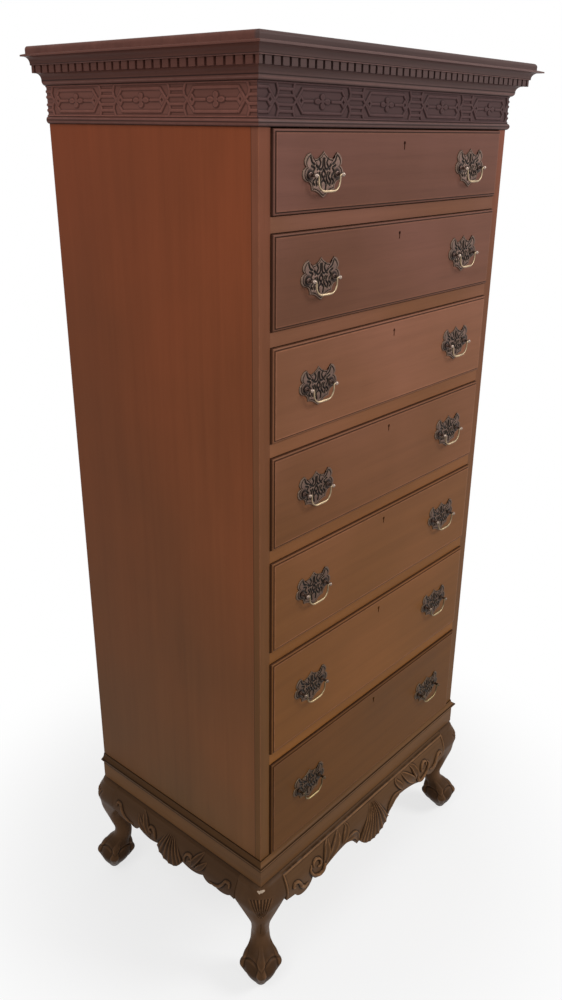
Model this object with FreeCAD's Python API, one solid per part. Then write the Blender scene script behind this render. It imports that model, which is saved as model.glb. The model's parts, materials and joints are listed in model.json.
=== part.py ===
"""A tall chest of seven drawers (a semainier) on a stand with cabriole legs, in millimetres.

+Z is up, +X runs to the right along the front and the front faces -Y. The origin is on the floor,
under the middle of the chest's overall box. Drawers are numbered from the top. Sizes named OUT are
measured outwards from the face of the case.
"""
import FreeCAD
import Part
import math
import os

Vector = FreeCAD.Vector

# Case
CASE_W = 593.0
CASE_D = 411.0
SIDE_T = 21.0
STILE_T = 12.0
OPENING_HEIGHTS = (102.0, 123.5, 133.0, 141.5, 150.5, 169.0, 184.5)
RAIL_H = 19.5
RAIL_D = 62.0
BOTTOM_RAIL_H = 22.0
FRIEZE_RAIL_T = 26.0
BACK_T = 9.0
BACK_LAP = 10.0
BOTTOM_T = 10.0
RUNNER_W = 36.0
DUST_T = 5.0
DUST_DROP = 8.0
STOP_X = 150.0
STOP_W = 40.0
STOP_D = 24.0
STOP_H = 6.0

# Drawers
FRONT_T = 21.0
FRONT_PROUD = 5.0
FRONT_GAP = 1.0
FIELD_RISE = 1.0
RIM_W = 4.5
RIM_R = 2.8
RUN_GAP = 0.4
STOP_GAP = 0.3
BOX_SIDE_T = 10.0
BOX_BACK_T = 9.0
BOX_BOTTOM_T = 6.0
BOX_TOP_GAP = 7.0
BOX_END_GAP = 14.0
BOTTOM_RAISE = 9.0
GROOVE = 5.0
TAIL_L = 12.0
TAIL_PITCH = 30.0
TAIL_SLOPE = 0.14

# Locks
LOCK_W = 52.0
LOCK_H = 34.0
LOCK_T = 11.0
LOCK_WALL = 1.6
BOLT_W = 18.0
BOLT_T = 5.5
BOLT_TRAVEL = 8.0
BOLT_GAP = 0.5
KEYHOLE_DROP = 17.6
KEYHOLE_R = 2.6
KEYHOLE_SLOT_W = 2.6
KEYHOLE_L = 8.4

# Pulls
PULL_X = 181.5
PULL_LOWER = 0.087
POST_SPACING = 54.0
PLATE_T = 1.5
PLATE_W = 77.0
PLATE_H = 56.0
SHANK_R = 2.5
SHANK_GAP = 0.2
SHANK_TAIL = 2.0
COLLAR_R = 4.2
COLLAR_T = 1.6
NECK_R = 2.0
BALL_R = 3.2
BALL_OUT = 11.6
NUT_W = 10.0
NUT_T = 3.0
ROD_R = 1.2
PIN_GAP = 0.4
PIN_PAST = 1.8
ARM_GAP = 0.8
ARM_BEND = 2.2
BAIL_DROP = 19.5
BAIL_CORNER = 13.0
GRIP_R = 1.9

# Frieze and cornice
BEAD_H = 10.0
BEAD_OUT = 4.8
FRIEZE_H = 39.5
FRIEZE_OUT = 2.0
OVOLO_H = 6.5
OVOLO_OUT = 7.5
CAVETTO_H = 8.8
CAVETTO_OUT = 15.3
DENTIL_H = 9.6
DENTIL_OUT = 22.0
DENTIL_PITCH = 15.3
DENTIL_SPACE = 4.2
DENTIL_WEB = 1.7
FILLET_H = 1.4
FILLET_OUT = 24.0
COVE_H = 9.0
COVE_OUT = 33.0
LIP_H = 2.0
LIP_OUT = 39.0
LIP_SLOPE_H = 2.0
TOP_EDGE_H = 9.6
TOP_EDGE_R = 5.0
TOP_OUT = 30.0
TOP_CORE_T = 12.0

# Stand
LEG_H = 227.6
BAND_H = 31.0
BAND_W = 52.0
BAND_OUT = 3.0
WAIST_OUT = 8.4
WAIST_NOSE_H = 2.5
WAIST_TOP_OUT = 1.5
APRON_IN = 4.0
APRON_COVE_H = 4.0
APRON_COVE_OUT = 9.0
APRON_OUT = 21.0
SWELL_H = 41.0
KNEE_W = 43.0
SEAT_CUT = 9.0
ANKLE_Z = 97.0
ANKLE_R = 16.2
FOOT_Z = 40.0
FOOT_R = 36.5
FOOT_FLAT_R = 8.0

# Lower edges of the aprons from the middle to the leg, as a share of the half length and a drop in
# millimetres. Four numbers are an arc through a point, two are a straight cut.
FRONT_APRON_EDGE = (
    (0.10, 90.0, 0.18, 71.0),
    (0.205, 75.0),
    (0.255, 59.0, 0.35, 49.0),
    (0.49, 54.0, 0.63, 66.0),
    (0.69, 64.0, 0.72, 54.0),
    (0.78, 70.0, 0.91, 58.0),
    (1.0, 54.0),
)
FRONT_SHELL_DROP = 96.0
SIDE_APRON_EDGE = (
    (0.11, 66.0, 0.20, 47.0),
    (0.29, 51.0, 0.53, 43.0),
    (0.63, 52.0, 0.69, 47.0),
    (0.79, 51.0, 0.94, 43.0),
    (1.0, 45.0),
)
SIDE_SHELL_DROP = 71.0

# Half outline of a pull's back plate from the bottom tip to the top peak, as shares of its half width
# and half height.
PLATE_OUTLINE = (
    (0.13, -0.90),
    (0.36, -0.72, 0.60, -0.66),
    (0.66, -0.40, 0.82, -0.27),
    (1.06, -0.02, 0.87, 0.36),
    (0.98, 0.58, 0.94, 0.72),
    (0.85, 0.86, 0.69, 0.94),
    (0.61, 0.76, 0.48, 0.67),
    (0.33, 0.70),
    (0.15, 0.82, 0.0, 1.0),
)

# Levels and planes that follow from the sizes above
CASE_BOTTOM = LEG_H + BAND_H
FACE_Y = -CASE_D / 2
BACK_Y = CASE_D / 2
OPENING_HALF = CASE_W / 2 - SIDE_T
BACK_INNER_Y = BACK_Y - BACK_T
FRIEZE_BOTTOM = CASE_BOTTOM + BOTTOM_RAIL_H + sum(OPENING_HEIGHTS) + RAIL_H * (len(OPENING_HEIGHTS) - 1)
FRIEZE_Z = FRIEZE_BOTTOM + BEAD_H
OVOLO_Z = FRIEZE_Z + FRIEZE_H
CAVETTO_Z = OVOLO_Z + OVOLO_H
DENTIL_Z = CAVETTO_Z + CAVETTO_H
FILLET_Z = DENTIL_Z + DENTIL_H
COVE_Z = FILLET_Z + FILLET_H
LIP_Z = COVE_Z + COVE_H
TOP_Z = LIP_Z + LIP_H + LIP_SLOPE_H
CASE_TOP = TOP_Z - TOP_CORE_T
FIELD_Y = FACE_Y - FRONT_PROUD
FRONT_BACK_Y = FIELD_Y + FRONT_T
BOX_END_Y = BACK_INNER_Y - BOX_END_GAP
BOX_HALF = OPENING_HALF - FRONT_GAP
BOLT_Y = FRONT_BACK_Y - LOCK_T / 2
BALL_Y = FIELD_Y - BALL_OUT
KNEE_Z = LEG_H - SWELL_H

# Middle point of a quarter round, as a share of its radius
BULGE = math.sin(math.pi / 4)
# Lengths below this count as nothing
FUZZ = 1e-6

# Leg sections between ankle and knee: height share, centre from the case corner, half size, squareness
SHIN_SECTIONS = (
    (0.23, -12.5, 15.7, 2.0),
    (0.44, -8.3, 16.5, 2.4),
    (0.67, -9.4, 24.2, 3.2),
    (0.86, -14.5, 33.0, 4.4),
)
ANKLE_C = -17.5
# Knee sections: share of the swell's depth, from the lower edge up
KNEE_SHARES = (1.0, 0.73, 0.46, 0.22, 0.0)
KNEE_SQUARENESS = 6.0
ROUND_SQUARENESS = 2.0
OUTER_SQUARENESS = 2.6
SWELL_STEPS = 4
# Claw sections above and below the widest part of the foot: height share, centre, size share, claw rise
UPPER_FOOT_SECTIONS = (
    (0.72, -15.9, 0.50, 0.04),
    (0.44, -9.0, 0.73, 0.09),
    (0.21, -6.5, 0.92, 0.07),
)
FOOT_C = -5.0
FOOT_CLAW = 0.05
LOWER_FOOT_SECTIONS = (
    (0.70, -4.0, 0.87, 0.06),
    (0.35, -2.5, 0.58, 0.07),
    (0.13, -1.6, 0.35, 0.05),
)
FOOT_FLAT_C = -1.2
SECTION_POINTS = 40

# The case stands off the origin so that the cornice's lip and the back feet reach equally far
FOOT_REACH = FOOT_C + FOOT_R * (1 - FOOT_CLAW)
CASE_SHIFT = Vector(0, (LIP_OUT - FOOT_REACH) / 2, 0)

# Sides of the chest that carry mouldings
SIDES = ("front", "left", "right")


def box(x0, x1, y0, y1, z0, z1):
    """Block between two corners."""
    return Part.makeBox(x1 - x0, y1 - y0, z1 - z0, Vector(x0, y0, z0))


def pair(shape):
    """A piece and its mirror image on the other side of the chest."""
    return [shape, shape.mirror(Vector(0, 0, 0), Vector(1, 0, 0))]


def outline_face(start, steps, place):
    """Flat face round an outline: a step of two numbers is a line, of four an arc through a point."""
    edges = []
    here = place(*start)
    for step in steps:
        there = place(*step[-2:])
        if len(step) == 4:
            edges.append(Part.Arc(here, place(*step[:2]), there).toShape())
        else:
            edges.append(Part.LineSegment(here, there).toShape())
        here = there
    if (here - place(*start)).Length > FUZZ:
        edges.append(Part.LineSegment(here, place(*start)).toShape())
    return Part.Face(Part.Wire(edges))


def scaled_steps(steps, across, up):
    """Outline steps given as shares, turned into sizes."""
    return [tuple(n * (up if index % 2 else across) for index, n in enumerate(step)) for step in steps]


def mirrored_steps(start, steps):
    """Steps along the mirror image of an outline, from the image of its end to that of its start."""
    ends = [start] + [step[-2:] for step in steps]
    back = []
    for step, before in zip(reversed(steps), reversed(ends[:-1])):
        via = (-step[0], step[1]) if len(step) == 4 else ()
        back.append(via + (-before[0], before[1]))
    return back


def drawer_floors():
    """Height of the rail that each drawer runs on, from the top drawer down."""
    floors = []
    z = CASE_BOTTOM + BOTTOM_RAIL_H
    for height in reversed(OPENING_HEIGHTS):
        floors.insert(0, z)
        z += height + RAIL_H
    return floors


FLOORS = drawer_floors()


def mitre_prism(side):
    """Tall block that holds one side's mouldings, cut at 45 degrees at the front corners."""
    reach = CASE_D / 2
    x = CASE_W / 2
    y = FACE_Y
    if side == "front":
        right = [(x + reach, y - reach), (x - reach, y + reach)]
        plan = right + [(-px, py) for px, py in reversed(right)]
    else:
        hand = -1 if side == "left" else 1
        near = hand * (x - reach)
        far = hand * (x + reach)
        plan = [(far, y - reach), (near, y + reach), (near, BACK_Y), (far, BACK_Y)]
    corners = [Vector(px, py, 0) for px, py in plan]
    face = Part.Face(Part.makePolygon(corners + corners[:1]))
    return face.extrude(Vector(0, 0, TOP_Z + TOP_EDGE_H))


def side_place(side):
    """Turn about Z of one side, and its distance from the middle."""
    if side == "front":
        return 0, CASE_D / 2
    return -90 if side == "left" else 90, CASE_W / 2


def run_along(side, face_at):
    """Sweep a moulding's section, drawn for the front, along one side and mitre its corners."""
    turn, distance = side_place(side)
    length = CASE_W + CASE_D
    section = face_at(lambda out, z: Vector(-length / 2, -distance - out, z))
    run = section.extrude(Vector(length, 0, 0))
    run.rotate(Vector(0, 0, 0), Vector(0, 0, 1), turn)
    return run.common(mitre_prism(side))


def molding(start, *steps):
    """One mitred moulding on each of the front, left and right sides."""
    return [run_along(side, lambda place: outline_face(start, steps, place)) for side in SIDES]


def side_panels():
    """Side boards behind the stiles, rebated at the rear for the back panel."""
    board = box(OPENING_HALF, CASE_W / 2, FACE_Y + STILE_T, BACK_Y, CASE_BOTTOM, CASE_TOP)
    rebate = box(OPENING_HALF, OPENING_HALF + BACK_LAP, BACK_INNER_Y, BACK_Y, CASE_BOTTOM, CASE_TOP)
    return pair(board.cut(rebate))


def front_stiles():
    """Upright strips that face the front edges of the side boards."""
    return pair(box(OPENING_HALF, CASE_W / 2, FACE_Y, FACE_Y + STILE_T, CASE_BOTTOM, CASE_TOP))


def bolt_mortise(z):
    """Slot above a drawer that takes its lock bolt, from height z up."""
    half_w = BOLT_W / 2 + BOLT_GAP
    half_t = BOLT_T / 2 + BOLT_GAP
    return box(-half_w, half_w, BOLT_Y - half_t, BOLT_Y + half_t, z, z + BOLT_TRAVEL + BOLT_GAP)


def drawer_rails():
    """Rails under the drawers, each but the lowest slotted below for the lock of the next drawer down."""
    rails = []
    for index, floor in enumerate(FLOORS):
        lowest = index == len(FLOORS) - 1
        height = BOTTOM_RAIL_H if lowest else RAIL_H
        rail = box(-OPENING_HALF, OPENING_HALF, FACE_Y, FACE_Y + RAIL_D, floor - height, floor)
        rails.append(rail if lowest else rail.cut(bolt_mortise(floor - height)))
    return rails


def frieze_rail():
    """Deep front rail behind the frieze, slotted for the top drawer's lock."""
    rail = box(-OPENING_HALF, OPENING_HALF, FACE_Y, FACE_Y + FRIEZE_RAIL_T, FRIEZE_BOTTOM, CASE_TOP)
    return [rail.cut(bolt_mortise(FRIEZE_BOTTOM))]


def drawer_runners():
    """Strips on the side boards that carry the drawers, and two that keep the top one from tipping."""
    inner = OPENING_HALF - RUNNER_W
    strips = []
    for index, floor in enumerate(FLOORS):
        lowest = index == len(FLOORS) - 1
        bottom = CASE_BOTTOM + BOTTOM_T if lowest else floor - RAIL_H
        strips += pair(box(inner, OPENING_HALF, FACE_Y + RAIL_D, BACK_INNER_Y, bottom, floor))
    top = FRIEZE_BOTTOM + RAIL_H
    strips += pair(box(inner, OPENING_HALF, FACE_Y + FRIEZE_RAIL_T, BACK_INNER_Y, FRIEZE_BOTTOM, top))
    return strips


def dust_panels():
    """Thin boards between the runners that part one drawer from the next."""
    half = OPENING_HALF - RUNNER_W
    panels = []
    for floor in FLOORS[:-1]:
        top = floor - DUST_DROP
        panels.append(box(-half, half, FACE_Y + RAIL_D, BACK_INNER_Y, top - DUST_T, top))
    return panels


def drawer_stops():
    """Blocks on the rails that meet the backs of the drawer fronts."""
    y = FRONT_BACK_Y + STOP_GAP
    blocks = []
    for floor in FLOORS:
        blocks += pair(box(STOP_X - STOP_W / 2, STOP_X + STOP_W / 2, y, y + STOP_D, floor, floor + STOP_H))
    return blocks


def back_panel():
    """Board let into the rebates of the sides."""
    half = OPENING_HALF + BACK_LAP
    return [box(-half, half, BACK_INNER_Y, BACK_Y, CASE_BOTTOM, CASE_TOP)]


def bottom_board():
    """Floor of the case, on the stand."""
    top = CASE_BOTTOM + BOTTOM_T
    return [box(-OPENING_HALF, OPENING_HALF, FACE_Y + RAIL_D, BACK_INNER_Y, CASE_BOTTOM, top)]


def top_board():
    """Top with a thin rounded edge that overhangs the cornice on three sides."""
    half = CASE_W / 2
    core = box(-half, half, FACE_Y, BACK_Y, CASE_TOP, TOP_Z)
    edge = box(-half - TOP_OUT, half + TOP_OUT, FACE_Y - TOP_OUT, BACK_Y, TOP_Z, TOP_Z + TOP_EDGE_H)
    rounded = []
    for line in edge.Edges:
        middle = line.CenterOfMass
        if abs(middle.z - edge.BoundBox.ZMax) < FUZZ and middle.y < BACK_Y - FUZZ:
            rounded.append(line)
    return [edge.makeFillet(TOP_EDGE_R, rounded).fuse(core).removeSplitter()]


def frieze_bead():
    """Half-round bead over the top drawer."""
    root = FRIEZE_OUT / 2
    return molding(
        (0, FRIEZE_BOTTOM),
        (root, FRIEZE_BOTTOM),
        (BEAD_OUT, FRIEZE_BOTTOM + BEAD_H / 2, root, FRIEZE_Z),
        (0, FRIEZE_Z),
    )


def frieze_fret():
    """Applied strips that carry the blind fret."""
    return molding((0, FRIEZE_Z), (FRIEZE_OUT, FRIEZE_Z), (FRIEZE_OUT, OVOLO_Z), (0, OVOLO_Z))


def cornice_molding():
    """Ovolo, cavetto, bed for the dentils, cove and thin lip under the top."""
    ovolo_w = OVOLO_OUT - FRIEZE_OUT
    cavetto_w = CAVETTO_OUT - OVOLO_OUT
    cove_w = COVE_OUT - FILLET_OUT
    return molding(
        (0, OVOLO_Z),
        (FRIEZE_OUT, OVOLO_Z),
        (FRIEZE_OUT + ovolo_w * BULGE, CAVETTO_Z - OVOLO_H * BULGE, OVOLO_OUT, CAVETTO_Z),
        (CAVETTO_OUT - cavetto_w * BULGE, CAVETTO_Z + CAVETTO_H * BULGE, CAVETTO_OUT, DENTIL_Z),
        (CAVETTO_OUT, FILLET_Z),
        (FILLET_OUT, FILLET_Z),
        (FILLET_OUT, COVE_Z),
        (COVE_OUT - cove_w * BULGE, COVE_Z + COVE_H * BULGE, COVE_OUT, LIP_Z),
        (LIP_OUT, LIP_Z),
        (LIP_OUT, LIP_Z + LIP_H),
        (TOP_OUT, TOP_Z),
        (0, TOP_Z),
    )


def dentil_comb(side):
    """Strip of dentils for one side, evenly spaced with a whole block at each front corner."""
    turn, distance = side_place(side)
    corner = (CASE_W / 2 if side == "front" else CASE_D / 2) + DENTIL_OUT
    length = 2 * corner if side == "front" else CASE_D + DENTIL_OUT
    count = round(length / DENTIL_PITCH)
    pitch = length / count
    block = pitch - DENTIL_SPACE
    first = corner - length if side == "left" else -corner
    web = CAVETTO_OUT + DENTIL_WEB
    teeth = [(first - pitch, web)]
    for number in range(count + 1):
        middle = first + number * pitch
        teeth += [(middle - block / 2, web), (middle - block / 2, DENTIL_OUT)]
        teeth += [(middle + block / 2, DENTIL_OUT), (middle + block / 2, web)]
    teeth.append((first + length + pitch, web))
    ends = [(first + length + pitch, CAVETTO_OUT), (first - pitch, CAVETTO_OUT)]
    corners = [Vector(along, -distance - out, DENTIL_Z) for along, out in teeth + ends]
    comb = Part.Face(Part.makePolygon(corners + corners[:1])).extrude(Vector(0, 0, DENTIL_H))
    comb.rotate(Vector(0, 0, 0), Vector(0, 0, 1), turn)
    return comb.common(mitre_prism(side))


def dentil_molding():
    """Dentil strips in the cornice's bed."""
    return [dentil_comb(side) for side in SIDES]


def waist_molding():
    """Nosed moulding that covers the joint of case and stand."""
    nose_z = CASE_BOTTOM + (BOTTOM_RAIL_H - WAIST_NOSE_H) / 2
    cove_w = WAIST_OUT - BAND_OUT
    ogee_w = WAIST_OUT - WAIST_TOP_OUT
    top = CASE_BOTTOM + BOTTOM_RAIL_H
    return molding(
        (0, CASE_BOTTOM),
        (BAND_OUT, CASE_BOTTOM),
        (WAIST_OUT - cove_w * BULGE, CASE_BOTTOM + (nose_z - CASE_BOTTOM) * BULGE, WAIST_OUT, nose_z),
        (WAIST_OUT, nose_z + WAIST_NOSE_H),
        (WAIST_OUT - ogee_w * BULGE, top - (top - nose_z - WAIST_NOSE_H) * BULGE, WAIST_TOP_OUT, top),
        (0, top),
    )


def base_frame():
    """Mitred frame whose edge is the flat band, closed by a rail at the back."""
    inner = BAND_OUT - BAND_W
    rails = molding((inner, LEG_H), (BAND_OUT, LEG_H), (BAND_OUT, CASE_BOTTOM), (inner, CASE_BOTTOM))
    half = CASE_W / 2 + inner
    return rails + [box(-half, half, BACK_Y + inner, BACK_Y, LEG_H, CASE_BOTTOM)]


def swell_out(drop):
    """How far the swelled face of apron and knee stands out at a drop below the band."""
    share = (drop - APRON_COVE_H) / (SWELL_H - APRON_COVE_H)
    return APRON_COVE_OUT + (APRON_OUT - APRON_COVE_OUT) * math.sin(share * math.pi / 2)


def swelled_section(lowest, place):
    """Section of an apron: small cove under the band, swelled face and plain back."""
    depth = SWELL_H - APRON_COVE_H
    drops = [APRON_COVE_H + depth * step / SWELL_STEPS for step in range(SWELL_STEPS + 1)]
    swell = Part.BSplineCurve()
    swell.interpolate([place(swell_out(drop), LEG_H - drop) for drop in drops])
    half_w = (APRON_COVE_OUT - BAND_OUT) * (1 - BULGE)
    cove_middle = place(BAND_OUT + half_w, LEG_H - APRON_COVE_H * BULGE)
    top = place(BAND_OUT, LEG_H)
    lip = place(APRON_COVE_OUT, LEG_H - APRON_COVE_H)
    face_low = place(APRON_OUT, lowest)
    back_low = place(-APRON_IN, lowest)
    back_top = place(-APRON_IN, LEG_H)
    edges = [
        Part.Arc(top, cove_middle, lip).toShape(),
        swell.toShape(),
        Part.LineSegment(place(APRON_OUT, KNEE_Z), face_low).toShape(),
        Part.LineSegment(face_low, back_low).toShape(),
        Part.LineSegment(back_low, back_top).toShape(),
        Part.LineSegment(back_top, top).toShape(),
    ]
    return Part.Face(Part.Wire(edges))


def apron(side, half, shell_drop, edge):
    """Swelled board between two legs, its lower edge cut to scrolls about a middle shell."""
    turn, distance = side_place(side)
    lowest = LEG_H - shell_drop
    section = swelled_section(lowest, lambda out, z: Vector(-half, -distance - out, z))
    board = section.extrude(Vector(2 * half, 0, 0))
    right = scaled_steps(edge, half, -1)
    left = mirrored_steps((0.0, -shell_drop), right)
    far = distance + APRON_OUT
    steps = left + right + [(half, 0.0), (-half, 0.0)]
    scrolls = outline_face((-half, right[-1][-1]), steps, lambda x, drop: Vector(x, -far, LEG_H + drop))
    board = board.common(scrolls.extrude(Vector(0, far, 0)))
    board.rotate(Vector(0, 0, 0), Vector(0, 0, 1), turn)
    return board


def aprons():
    """Front and side aprons, seated between the legs."""
    front_half = CASE_W / 2 - KNEE_W
    side_half = CASE_D / 2 - KNEE_W
    return [
        apron("front", front_half, FRONT_SHELL_DROP, FRONT_APRON_EDGE),
        apron("left", side_half, SIDE_SHELL_DROP, SIDE_APRON_EDGE),
        apron("right", side_half, SIDE_SHELL_DROP, SIDE_APRON_EDGE),
    ]


def leg_section(z, centre, size, squareness, claw):
    """Closed curve round a leg at one height, about a point on the corner's diagonal.

    The radius is a superellipse's, from a circle at squareness 2 towards a square, with four claws.
    The outer corner is kept round.
    """
    points = []
    for number in range(SECTION_POINTS):
        angle = 2 * math.pi * number / SECTION_POINTS
        c = math.cos(angle)
        s = math.sin(angle)
        power = min(squareness, OUTER_SQUARENESS) if c > 0 and s > 0 else squareness
        radius = size / (abs(c) ** power + abs(s) ** power) ** (1 / power)
        radius *= 1 + claw * math.cos(4 * (angle - math.pi / 4))
        points.append(Vector(centre + radius * c, centre + radius * s, z))
    curve = Part.BSplineCurve()
    curve.interpolate(points, PeriodicFlag=True)
    return Part.Wire(curve.toShape())


def leg_sections():
    """Sections from the floor to the band, outwards from the corner along +X and +Y."""
    sections = [foot_section(0, FOOT_FLAT_C, FOOT_FLAT_R, 0.0)]
    for share, centre, size, claw in reversed(LOWER_FOOT_SECTIONS):
        sections.append(foot_section(FOOT_Z * share, centre, FOOT_R * size, claw))
    sections.append(foot_section(FOOT_Z, FOOT_C, FOOT_R, FOOT_CLAW))
    for share, centre, size, claw in reversed(UPPER_FOOT_SECTIONS):
        sections.append(foot_section(FOOT_Z + (ANKLE_Z - FOOT_Z) * share, centre, FOOT_R * size, claw))
    sections.append(foot_section(ANKLE_Z, ANKLE_C, ANKLE_R, 0.0))
    for share, centre, size, squareness in SHIN_SECTIONS:
        sections.append(leg_section(ANKLE_Z + (KNEE_Z - ANKLE_Z) * share, centre, size, squareness, 0.0))
    for share in KNEE_SHARES:
        drop = APRON_COVE_H + (SWELL_H - APRON_COVE_H) * share
        sections.append(knee_section(drop, swell_out(drop)))
    sections.append(knee_section(0.0, BAND_OUT))
    return sections


def foot_section(z, centre, size, claw):
    """Round section of the foot or ankle."""
    return leg_section(z, centre, size, ROUND_SQUARENESS, claw)


def knee_section(drop, out):
    """Squarish section of the knee, whose outer sides stand out as the aprons do."""
    inner = KNEE_W + SEAT_CUT
    return leg_section(LEG_H - drop, (out - inner) / 2, (out + inner) / 2, KNEE_SQUARENESS, 0.0)


def legs():
    """Four cabriole legs on ball-and-claw feet, with flat seats for the aprons' ends."""
    leg = Part.makeLoft(leg_sections(), True)
    across = CASE_W
    for seat in (
        box(-across, -KNEE_W, -across, across, ANKLE_Z, LEG_H),
        box(-across, across, -across, -KNEE_W, ANKLE_Z, LEG_H),
    ):
        leg = leg.cut(seat)
    leg.translate(Vector(CASE_W / 2, BACK_Y, 0))
    back = pair(leg)
    return back + [each.mirror(Vector(0, 0, 0), Vector(0, 1, 0)) for each in back]


def drawer_side(floor, height):
    """Drawer side with dovetails at its front end, before the groove for the bottom is cut."""
    low = floor + RUN_GAP
    high = floor + height - BOX_TOP_GAP
    count = max(2, round((high - low) / TAIL_PITCH))
    pitch = (high - low) / count
    root = pitch / 4
    tip = root + TAIL_L * TAIL_SLOPE
    corners = [(BOX_END_Y, low), (FRONT_BACK_Y, low)]
    for number in range(count):
        middle = low + pitch * (number + 0.5)
        corners += [(FRONT_BACK_Y, middle - root), (FRONT_BACK_Y - TAIL_L, middle - tip)]
        corners += [(FRONT_BACK_Y - TAIL_L, middle + tip), (FRONT_BACK_Y, middle + root)]
    corners += [(FRONT_BACK_Y, high), (BOX_END_Y, high)]
    places = [Vector(BOX_HALF - BOX_SIDE_T, y, z) for y, z in corners]
    return Part.Face(Part.makePolygon(places + places[:1])).extrude(Vector(BOX_SIDE_T, 0, 0))


def drawer_bottom(floor):
    """Bottom panel, held in grooves of the front and sides."""
    half = BOX_HALF - BOX_SIDE_T + GROOVE
    low = floor + RUN_GAP + BOTTOM_RAISE
    return box(-half, half, FRONT_BACK_Y - GROOVE, BOX_END_Y, low, low + BOX_BOTTOM_T)


def drawer_box(floor, height):
    """Two sides, the bottom panel, and the back that stands on it."""
    bottom = drawer_bottom(floor)
    sides = [side.cut(bottom) for side in pair(drawer_side(floor, height))]
    half = BOX_HALF - BOX_SIDE_T
    low = bottom.BoundBox.ZMax
    high = floor + height - BOX_TOP_GAP
    back = box(-half, half, BOX_END_Y - BOX_BACK_T, BOX_END_Y, low, high)
    return sides + [bottom, back]


def keyhole(top):
    """Round hole over a slot, cut through to the lock."""
    z = top - KEYHOLE_DROP
    hole = Part.makeCylinder(KEYHOLE_R, FRONT_T, Vector(0, FIELD_Y, z), Vector(0, 1, 0))
    half = KEYHOLE_SLOT_W / 2
    return hole.fuse(box(-half, half, FIELD_Y, FIELD_Y + FRONT_T, z - KEYHOLE_L, z))


def lock_body(top):
    """Outside of a lock, let into the back of a drawer front and flush with its upper edge."""
    return box(-LOCK_W / 2, LOCK_W / 2, FRONT_BACK_Y - LOCK_T, FRONT_BACK_Y, top - LOCK_H, top)


def bolt_height():
    """Length of a lock bolt, which fills the lock but for its floor and gaps."""
    return LOCK_H - LOCK_WALL - 2 * BOLT_GAP - BOLT_TRAVEL


def lock_case(top):
    """Lock with a well for its bolt, open at the upper edge."""
    half_w = BOLT_W / 2 + BOLT_GAP
    half_t = BOLT_T / 2 + BOLT_GAP
    floor = top - 2 * BOLT_GAP - bolt_height()
    return lock_body(top).cut(box(-half_w, half_w, BOLT_Y - half_t, BOLT_Y + half_t, floor, top))


def lock_bolt(floor, height):
    """Bolt that shoots up into the rail above."""
    top = floor + height - FRONT_GAP - BOLT_GAP
    half_w = BOLT_W / 2
    half_t = BOLT_T / 2
    return [box(-half_w, half_w, BOLT_Y - half_t, BOLT_Y + half_t, top - bolt_height(), top)]


def pull_level(floor, height):
    """Height of a drawer's pulls: its middle, or lower if it is shallower than the fifth drawer."""
    lack = max(0.0, OPENING_HEIGHTS[4] - height)
    return floor + height / 2 - PULL_LOWER * lack


def post_places(floor, height):
    """Centres of a drawer's four pull posts, in X and Z."""
    z = pull_level(floor, height)
    return [(side * PULL_X + end * POST_SPACING / 2, z) for side in (-1, 1) for end in (-1, 1)]


def rod_along_y(x, z, radius, y0, y1):
    """Round bar along Y."""
    return Part.makeCylinder(radius, y1 - y0, Vector(x, y0, z), Vector(0, 1, 0))


def drawer_front(floor, height):
    """Front board with a raised field, a rounded rim, and seats for the box, lock and pulls."""
    half = OPENING_HALF - FRONT_GAP
    low = floor + FRONT_GAP
    top = floor + height - FRONT_GAP
    rim_y = FIELD_Y + FIELD_RISE
    slab = box(-half, half, rim_y, FRONT_BACK_Y, low, top)
    rim = [edge for edge in slab.Edges if abs(edge.BoundBox.YMax - rim_y) < FUZZ]
    slab = slab.makeFillet(RIM_R, rim)
    field = box(-half + RIM_W, half - RIM_W, FIELD_Y, FRONT_BACK_Y - TAIL_L, low + RIM_W, top - RIM_W)
    cuts = pair(drawer_side(floor, height)) + [drawer_bottom(floor), lock_body(top), keyhole(top)]
    for x, z in post_places(floor, height):
        cuts.append(rod_along_y(x, z, SHANK_R + SHANK_GAP, FIELD_Y, FRONT_BACK_Y))
    return [slab.fuse(field).removeSplitter().cut(cuts)]


def back_plate(x, z):
    """Bat-wing plate under one pull, holed for its posts."""
    tip = (0.0, -PLATE_H / 2)
    right = scaled_steps(PLATE_OUTLINE, PLATE_W / 2, PLATE_H / 2)
    steps = right + mirrored_steps(tip, right)
    face = outline_face(tip, steps, lambda u, v: Vector(x + u, FIELD_Y - PLATE_T, z + v))
    plate = face.extrude(Vector(0, PLATE_T, 0))
    holes = [
        rod_along_y(x + end * POST_SPACING / 2, z, SHANK_R + SHANK_GAP, FIELD_Y - PLATE_T, FIELD_Y)
        for end in (-1, 1)
    ]
    return plate.cut(holes)


def post(x, z, inward):
    """Turned post: shank through the front, collar on the plate, neck, and ball drilled for the bail."""
    plate_y = FIELD_Y - PLATE_T
    shank = rod_along_y(x, z, SHANK_R, plate_y, FRONT_BACK_Y + NUT_T + SHANK_TAIL)
    collar = rod_along_y(x, z, COLLAR_R, plate_y - COLLAR_T, plate_y)
    neck = rod_along_y(x, z, NECK_R, BALL_Y, plate_y - COLLAR_T)
    ball = Part.makeSphere(BALL_R, Vector(x, BALL_Y, z))
    depth = BALL_R + PIN_PAST + PIN_GAP
    start = Vector(x - inward * (PIN_PAST + PIN_GAP), BALL_Y, z)
    hole = Part.makeCylinder(ROD_R + PIN_GAP, depth, start, Vector(inward, 0, 0))
    return shank.fuse([collar, neck, ball]).removeSplitter().cut(hole)


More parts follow.
